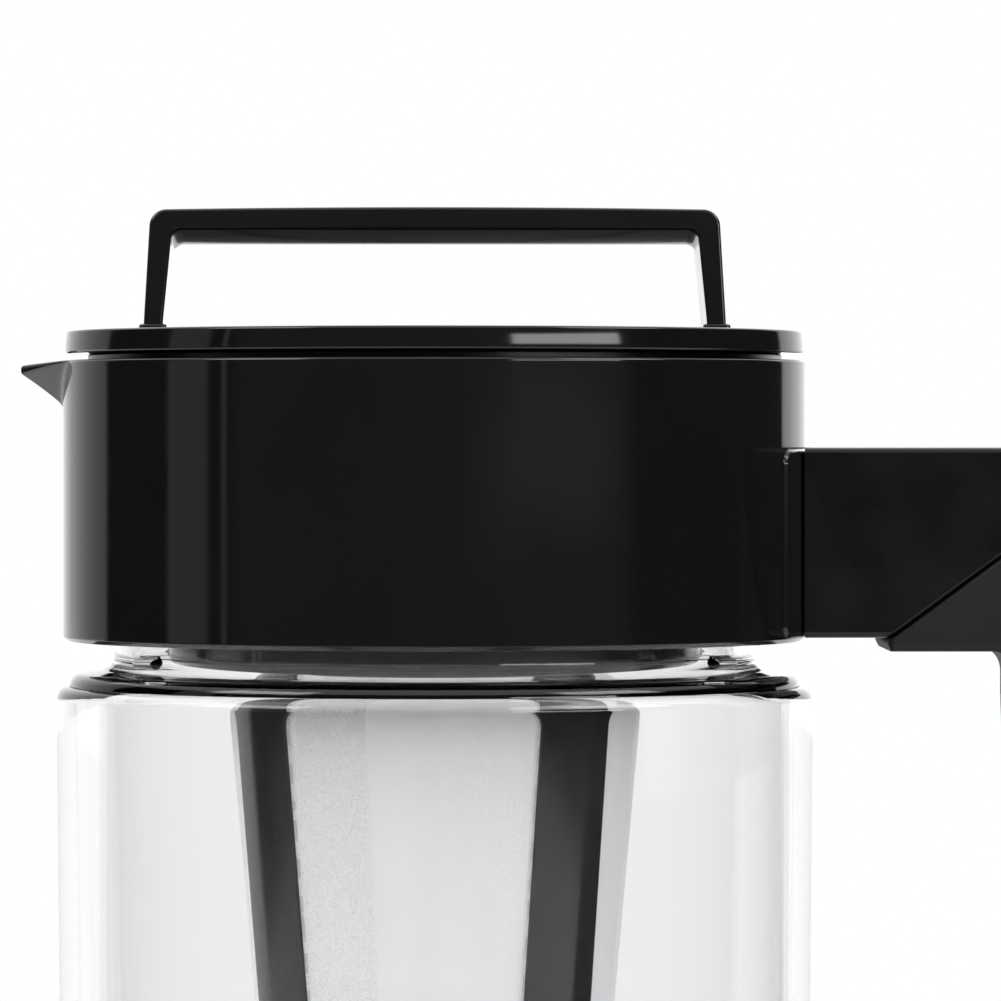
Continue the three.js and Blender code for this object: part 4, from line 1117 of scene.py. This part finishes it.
def infuser_cage(material):
    wall = RIB_THICKNESS
    foot = cone_radius(INFUSER_BOTTOM)
    edge = FIT
    ring_low = CONE_TOP
    grip_radius = INFUSER_RADIUS + GRIP_RING_PROUD
    grip_inner = grip_radius - INFUSER_RING_WALL
    grip_bottom = ring_low + GRIP_RING_UP
    flange_bottom = INFUSER_TOP - INFUSER_RING_WALL
    piece = turned("infuser_cage", [
        (0, INFUSER_BOTTOM),
        *rounded(foot, INFUSER_BOTTOM, INFUSER_BASE_CORNER, 3, 10),
        (INFUSER_FOOT, WINDOW_BOTTOM),
        *((cone_radius(h), h) for h in spread(WINDOW_BOTTOM, ring_low, 24)[1:]),
        (INFUSER_RADIUS, flange_bottom), (grip_inner, flange_bottom),
        *rounded(grip_inner, grip_bottom, edge, 2, 4),
        *rounded(grip_radius, grip_bottom, edge, 3, 4),
        *rounded(grip_radius, INFUSER_TOP, 2 * edge, 0, 5),
        *rounded(THREAD_BORE, INFUSER_TOP, 2 * edge, 1, 5),
        (THREAD_BORE, ring_low + wall),
        *((cone_radius(h) - wall, h) for h in spread(ring_low, WINDOW_BOTTOM, 24)),
        (foot - wall, INFUSER_BOTTOM + INFUSER_BASE_CORNER),
        (foot - INFUSER_BASE_CORNER, INFUSER_BOTTOM + INFUSER_FLOOR), (0, INFUSER_BOTTOM + INFUSER_FLOOR),
    ])
    for ribs in RIB_PAIRS:
        combine(piece, "DIFFERENCE", curved_sheet("window", ribs, 3 * wall, -wall, WINDOW_CORNER))
    thread_ridges(piece, THREAD_BORE + INFUSER_RING_WALL / 2, THREAD_BORE - THREAD_PROUD,
                  SPIGOT_BOTTOM + SPIGOT_RIDGE_UP + THREAD_HEIGHT + FIT)
    dress(piece, "infuser", "satin_black", material, "infuser_frame")


def mesh_panels(material):
    for i, ribs in enumerate(RIB_PAIRS, 1):
        piece = curved_sheet(f"mesh_{i}", ribs, MESH_RECESS + MESH_THICKNESS, MESH_RECESS, 0)
        dress(piece, "infuser", "infuser_mesh", material, f"mesh_panel_{i}")


def screws(material):
    for screw in SCREWS:
        node = frame["nodes"][screw]
        node.data.materials.clear()
        node.data.materials.append(material)


# Stage, light and camera

FLOOR_RADIUS = 3.0
FLOOR_PALE = 0.45
FLOOR_WHITE = 0.62
FLOOR_DARK = 0.64
FLOOR_DARK_EDGE = 0.7
STUDIO_LEFT = -121
STUDIO_RIGHT = 135
STUDIO_SOFT = 1.5
FLOOR_COLOUR = grey(0.82)
FLOOR_SHADE = 0.03
STRAIGHT_GAIN = 1.04
MATTE_LIGHT = 0.45
THROUGH_LIGHT = 3.3
SECOND_GLOSS = 0.4
THROUGH_GLOW = 0.04
ROOM_GLOW = 0.02

# Glow round and over the studio: turn or rise from and to, and the strength at each end
BACK_GLOW = (118, 175, 0.42, 1.2)
RIGHT_GLOW = (100, 130, 0, 0.45)
OVERHEAD_GLOW = (26, 36, 0, 1.1)

# Light fields that the gloss mirrors: turn from, to and softness, rise likewise if limited, strength
LIGHT_FIELDS = [
    ((-89.6, -73.4, 1), None, 0.34),
    ((-68.2, -66.5, 0.4), None, 0.42),
    ((-64, 62, 4), None, 0.08),
    ((14, 54, 10), (-0.6, 0.25, 0.25), 0.22),
    ((23.5, 58.4, 0.8), (3, 11.5, 1), 5.6),
    ((-80, -44, 3), (24, 46, 3), 5),
    ((44, 80, 3), (24, 46, 3), 5),
]


def floor():
    """Pale floor near the object, for its shadow, white further out and dark to gloss in the studio."""
    graph = new_material("floor")
    place = graph.place()
    x, y, _ = graph.parts(place)
    distance = graph.node("ShaderNodeVectorMath", {"operation": "LENGTH"}, {0: place}, output=1)
    seen, glossy, through, bounces, scattered = graph.rays(
        "Is Camera Ray", "Is Glossy Ray", "Is Transmission Ray", "Glossy Depth", "Diffuse Depth")
    studio = graph.window(graph.turn_from_front(x, y), STUDIO_LEFT, STUDIO_RIGHT, STUDIO_SOFT)
    mirrored = (bounces > 0.5) * (scattered < 0.5) * studio
    seen = seen.sum("MAXIMUM", seen, glossy.sum("MAXIMUM", glossy, through))
    white = graph.between(distance, FLOOR_PALE, FLOOR_WHITE) * seen * (1 - mirrored)
    dark = graph.between(distance, FLOOR_DARK, FLOOR_DARK_EDGE) * mirrored
    diffuse = graph.node("ShaderNodeBsdfDiffuse", inputs={"Color": FLOOR_COLOUR})
    level = graph.blend(through, grey(1), grey(STRAIGHT_GAIN))
    glow = graph.node("ShaderNodeEmission", inputs={"Color": level, "Strength": 1})
    shade = graph.node("ShaderNodeEmission", inputs={"Color": grey(1), "Strength": FLOOR_SHADE})
    bright = graph.node("ShaderNodeMixShader", inputs={0: white, 1: diffuse, 2: glow})
    mixed = graph.node("ShaderNodeMixShader", inputs={0: dark, 1: bright, 2: shade})
    graph.node("ShaderNodeOutputMaterial", inputs={"Surface": mixed})
    rim = [(x, y, 0) for x, y in arc(0, 0, FLOOR_RADIUS, 0, 2 * pi, ROUND_STEPS)[1:]]
    disc = made("floor", rim, [list(range(ROUND_STEPS))])
    disc.data.materials.append(graph.owner)


def world():
    """White to the camera and straight through the pitcher; a studio with light fields to the gloss."""
    surround = bpy.data.worlds.new("studio")
    bpy.context.scene.world = surround
    surround.cycles.sampling_method = "NONE"
    graph = Graph(surround)
    x, y, z = graph.parts(graph.node("ShaderNodeTexCoord", output=0))
    seen, through, bounces, scattered = graph.rays(
        "Is Camera Ray", "Is Transmission Ray", "Glossy Depth", "Diffuse Depth")
    turn = graph.turn_from_front(x, y)
    rise = z.sum("ARCSINE", z, 0) * (180 / pi)
    away = turn.sum("MAXIMUM", turn, turn * -1)
    around = graph.between(away, *BACK_GLOW) + graph.between(turn, *RIGHT_GLOW)
    backdrop = (1 - graph.window(turn, STUDIO_LEFT, STUDIO_RIGHT, STUDIO_SOFT)) * around
    field = backdrop + graph.between(rise, *OVERHEAD_GLOW) + through * THROUGH_GLOW + ROOM_GLOW
    for across, up, power in LIGHT_FIELDS:
        light = graph.window(turn, *across) * power
        field = field + (light * graph.window(rise, *up) if up else light)
    field = field * (1 - (bounces > 1.5) * (1 - through) * (1 - SECOND_GLOSS))
    scattered = scattered > 0.5
    straight = seen.sum("MAXIMUM", seen, through * (bounces < 0.5) * (1 - scattered) * STRAIGHT_GAIN)
    lit = through * THROUGH_LIGHT + (1 - through) * MATTE_LIGHT
    strength = straight + (straight < 0.5) * (scattered * lit + (1 - scattered) * field)
    background = graph.node("ShaderNodeBackground", inputs={"Color": grey(1), "Strength": strength})
    graph.node("ShaderNodeOutputWorld", inputs={"Surface": background})


def aimed(name, data, place, target):
    """Lamp or camera at a place, facing a target."""
    thing = bpy.data.objects.new(name, data)
    thing.location = place
    thing.rotation_euler = (Vector(target) - Vector(place)).to_track_quat("-Z", "Y").to_euler()
    bpy.context.scene.collection.objects.link(thing)
    return thing


LAMP_TARGET = (0, 0, 0.12)
LAMPS = [
    ("front_lamp", (-0.5, -1.3, 1.3), 0.7, 14),
    ("right_lamp", (1.3, -0.4, 0.9), 0.6, 12),
    ("top_lamp", (-0.1, 0.5, 1.6), 0.9, 10),
]


def lamps():
    """Round soft lamps, each with its place, size and power, that only light what is matte."""
    for name, place, size, power in LAMPS:
        data = bpy.data.lights.new(name, "AREA")
        data.shape = "DISK"
        data.size = size
        data.energy = power
        light = aimed(name, data, place, LAMP_TARGET)
        light.visible_glossy = False
        light.visible_camera = False
        light.visible_transmission = False


CAMERA_PLACE = (0, -0.9, 0.1795)
CAMERA_TARGET = (0.00914, 0, 0.1711)
FOCAL_PIXELS = 6450
PHOTO_PIXELS = 1001


def camera():
    data = bpy.data.cameras.new("camera")
    data.lens = FOCAL_PIXELS / PHOTO_PIXELS * data.sensor_width
    bpy.context.scene.camera = aimed("camera", data, CAMERA_PLACE, CAMERA_TARGET)


camera()
floor()
world()
lamps()
clear_pitcher(make_clear_plastic())
outer_collar(gloss_black)
inner_liner(satin_black)
gasket("neck_seal", "neck_gasket", BORE_RADIUS + FIT, "pitcher", silicone)
handle_arm(satin_black)
rubber_sleeve(grip_rubber)
screws(make_screw_steel())
lid_disc(gloss_black)
bail(bail_black)
stopper_drum(satin_black)
gasket("stopper_seal", "plug_gasket", DRUM_RADIUS - PLUG_SEAL_THICKNESS, "lid", silicone, lips=3)
gasket("lid_seal", "cover_gasket", DRUM_RADIUS + FIT, "lid_seal", silicone)
gasket("infuser_seal", "infuser_gasket", SPIGOT_RADIUS + FIT, "infuser_seal", silicone)
infuser_cage(infuser_black)
mesh_panels(make_infuser_mesh())

bpy.context.scene.view_settings.view_transform = "Standard"
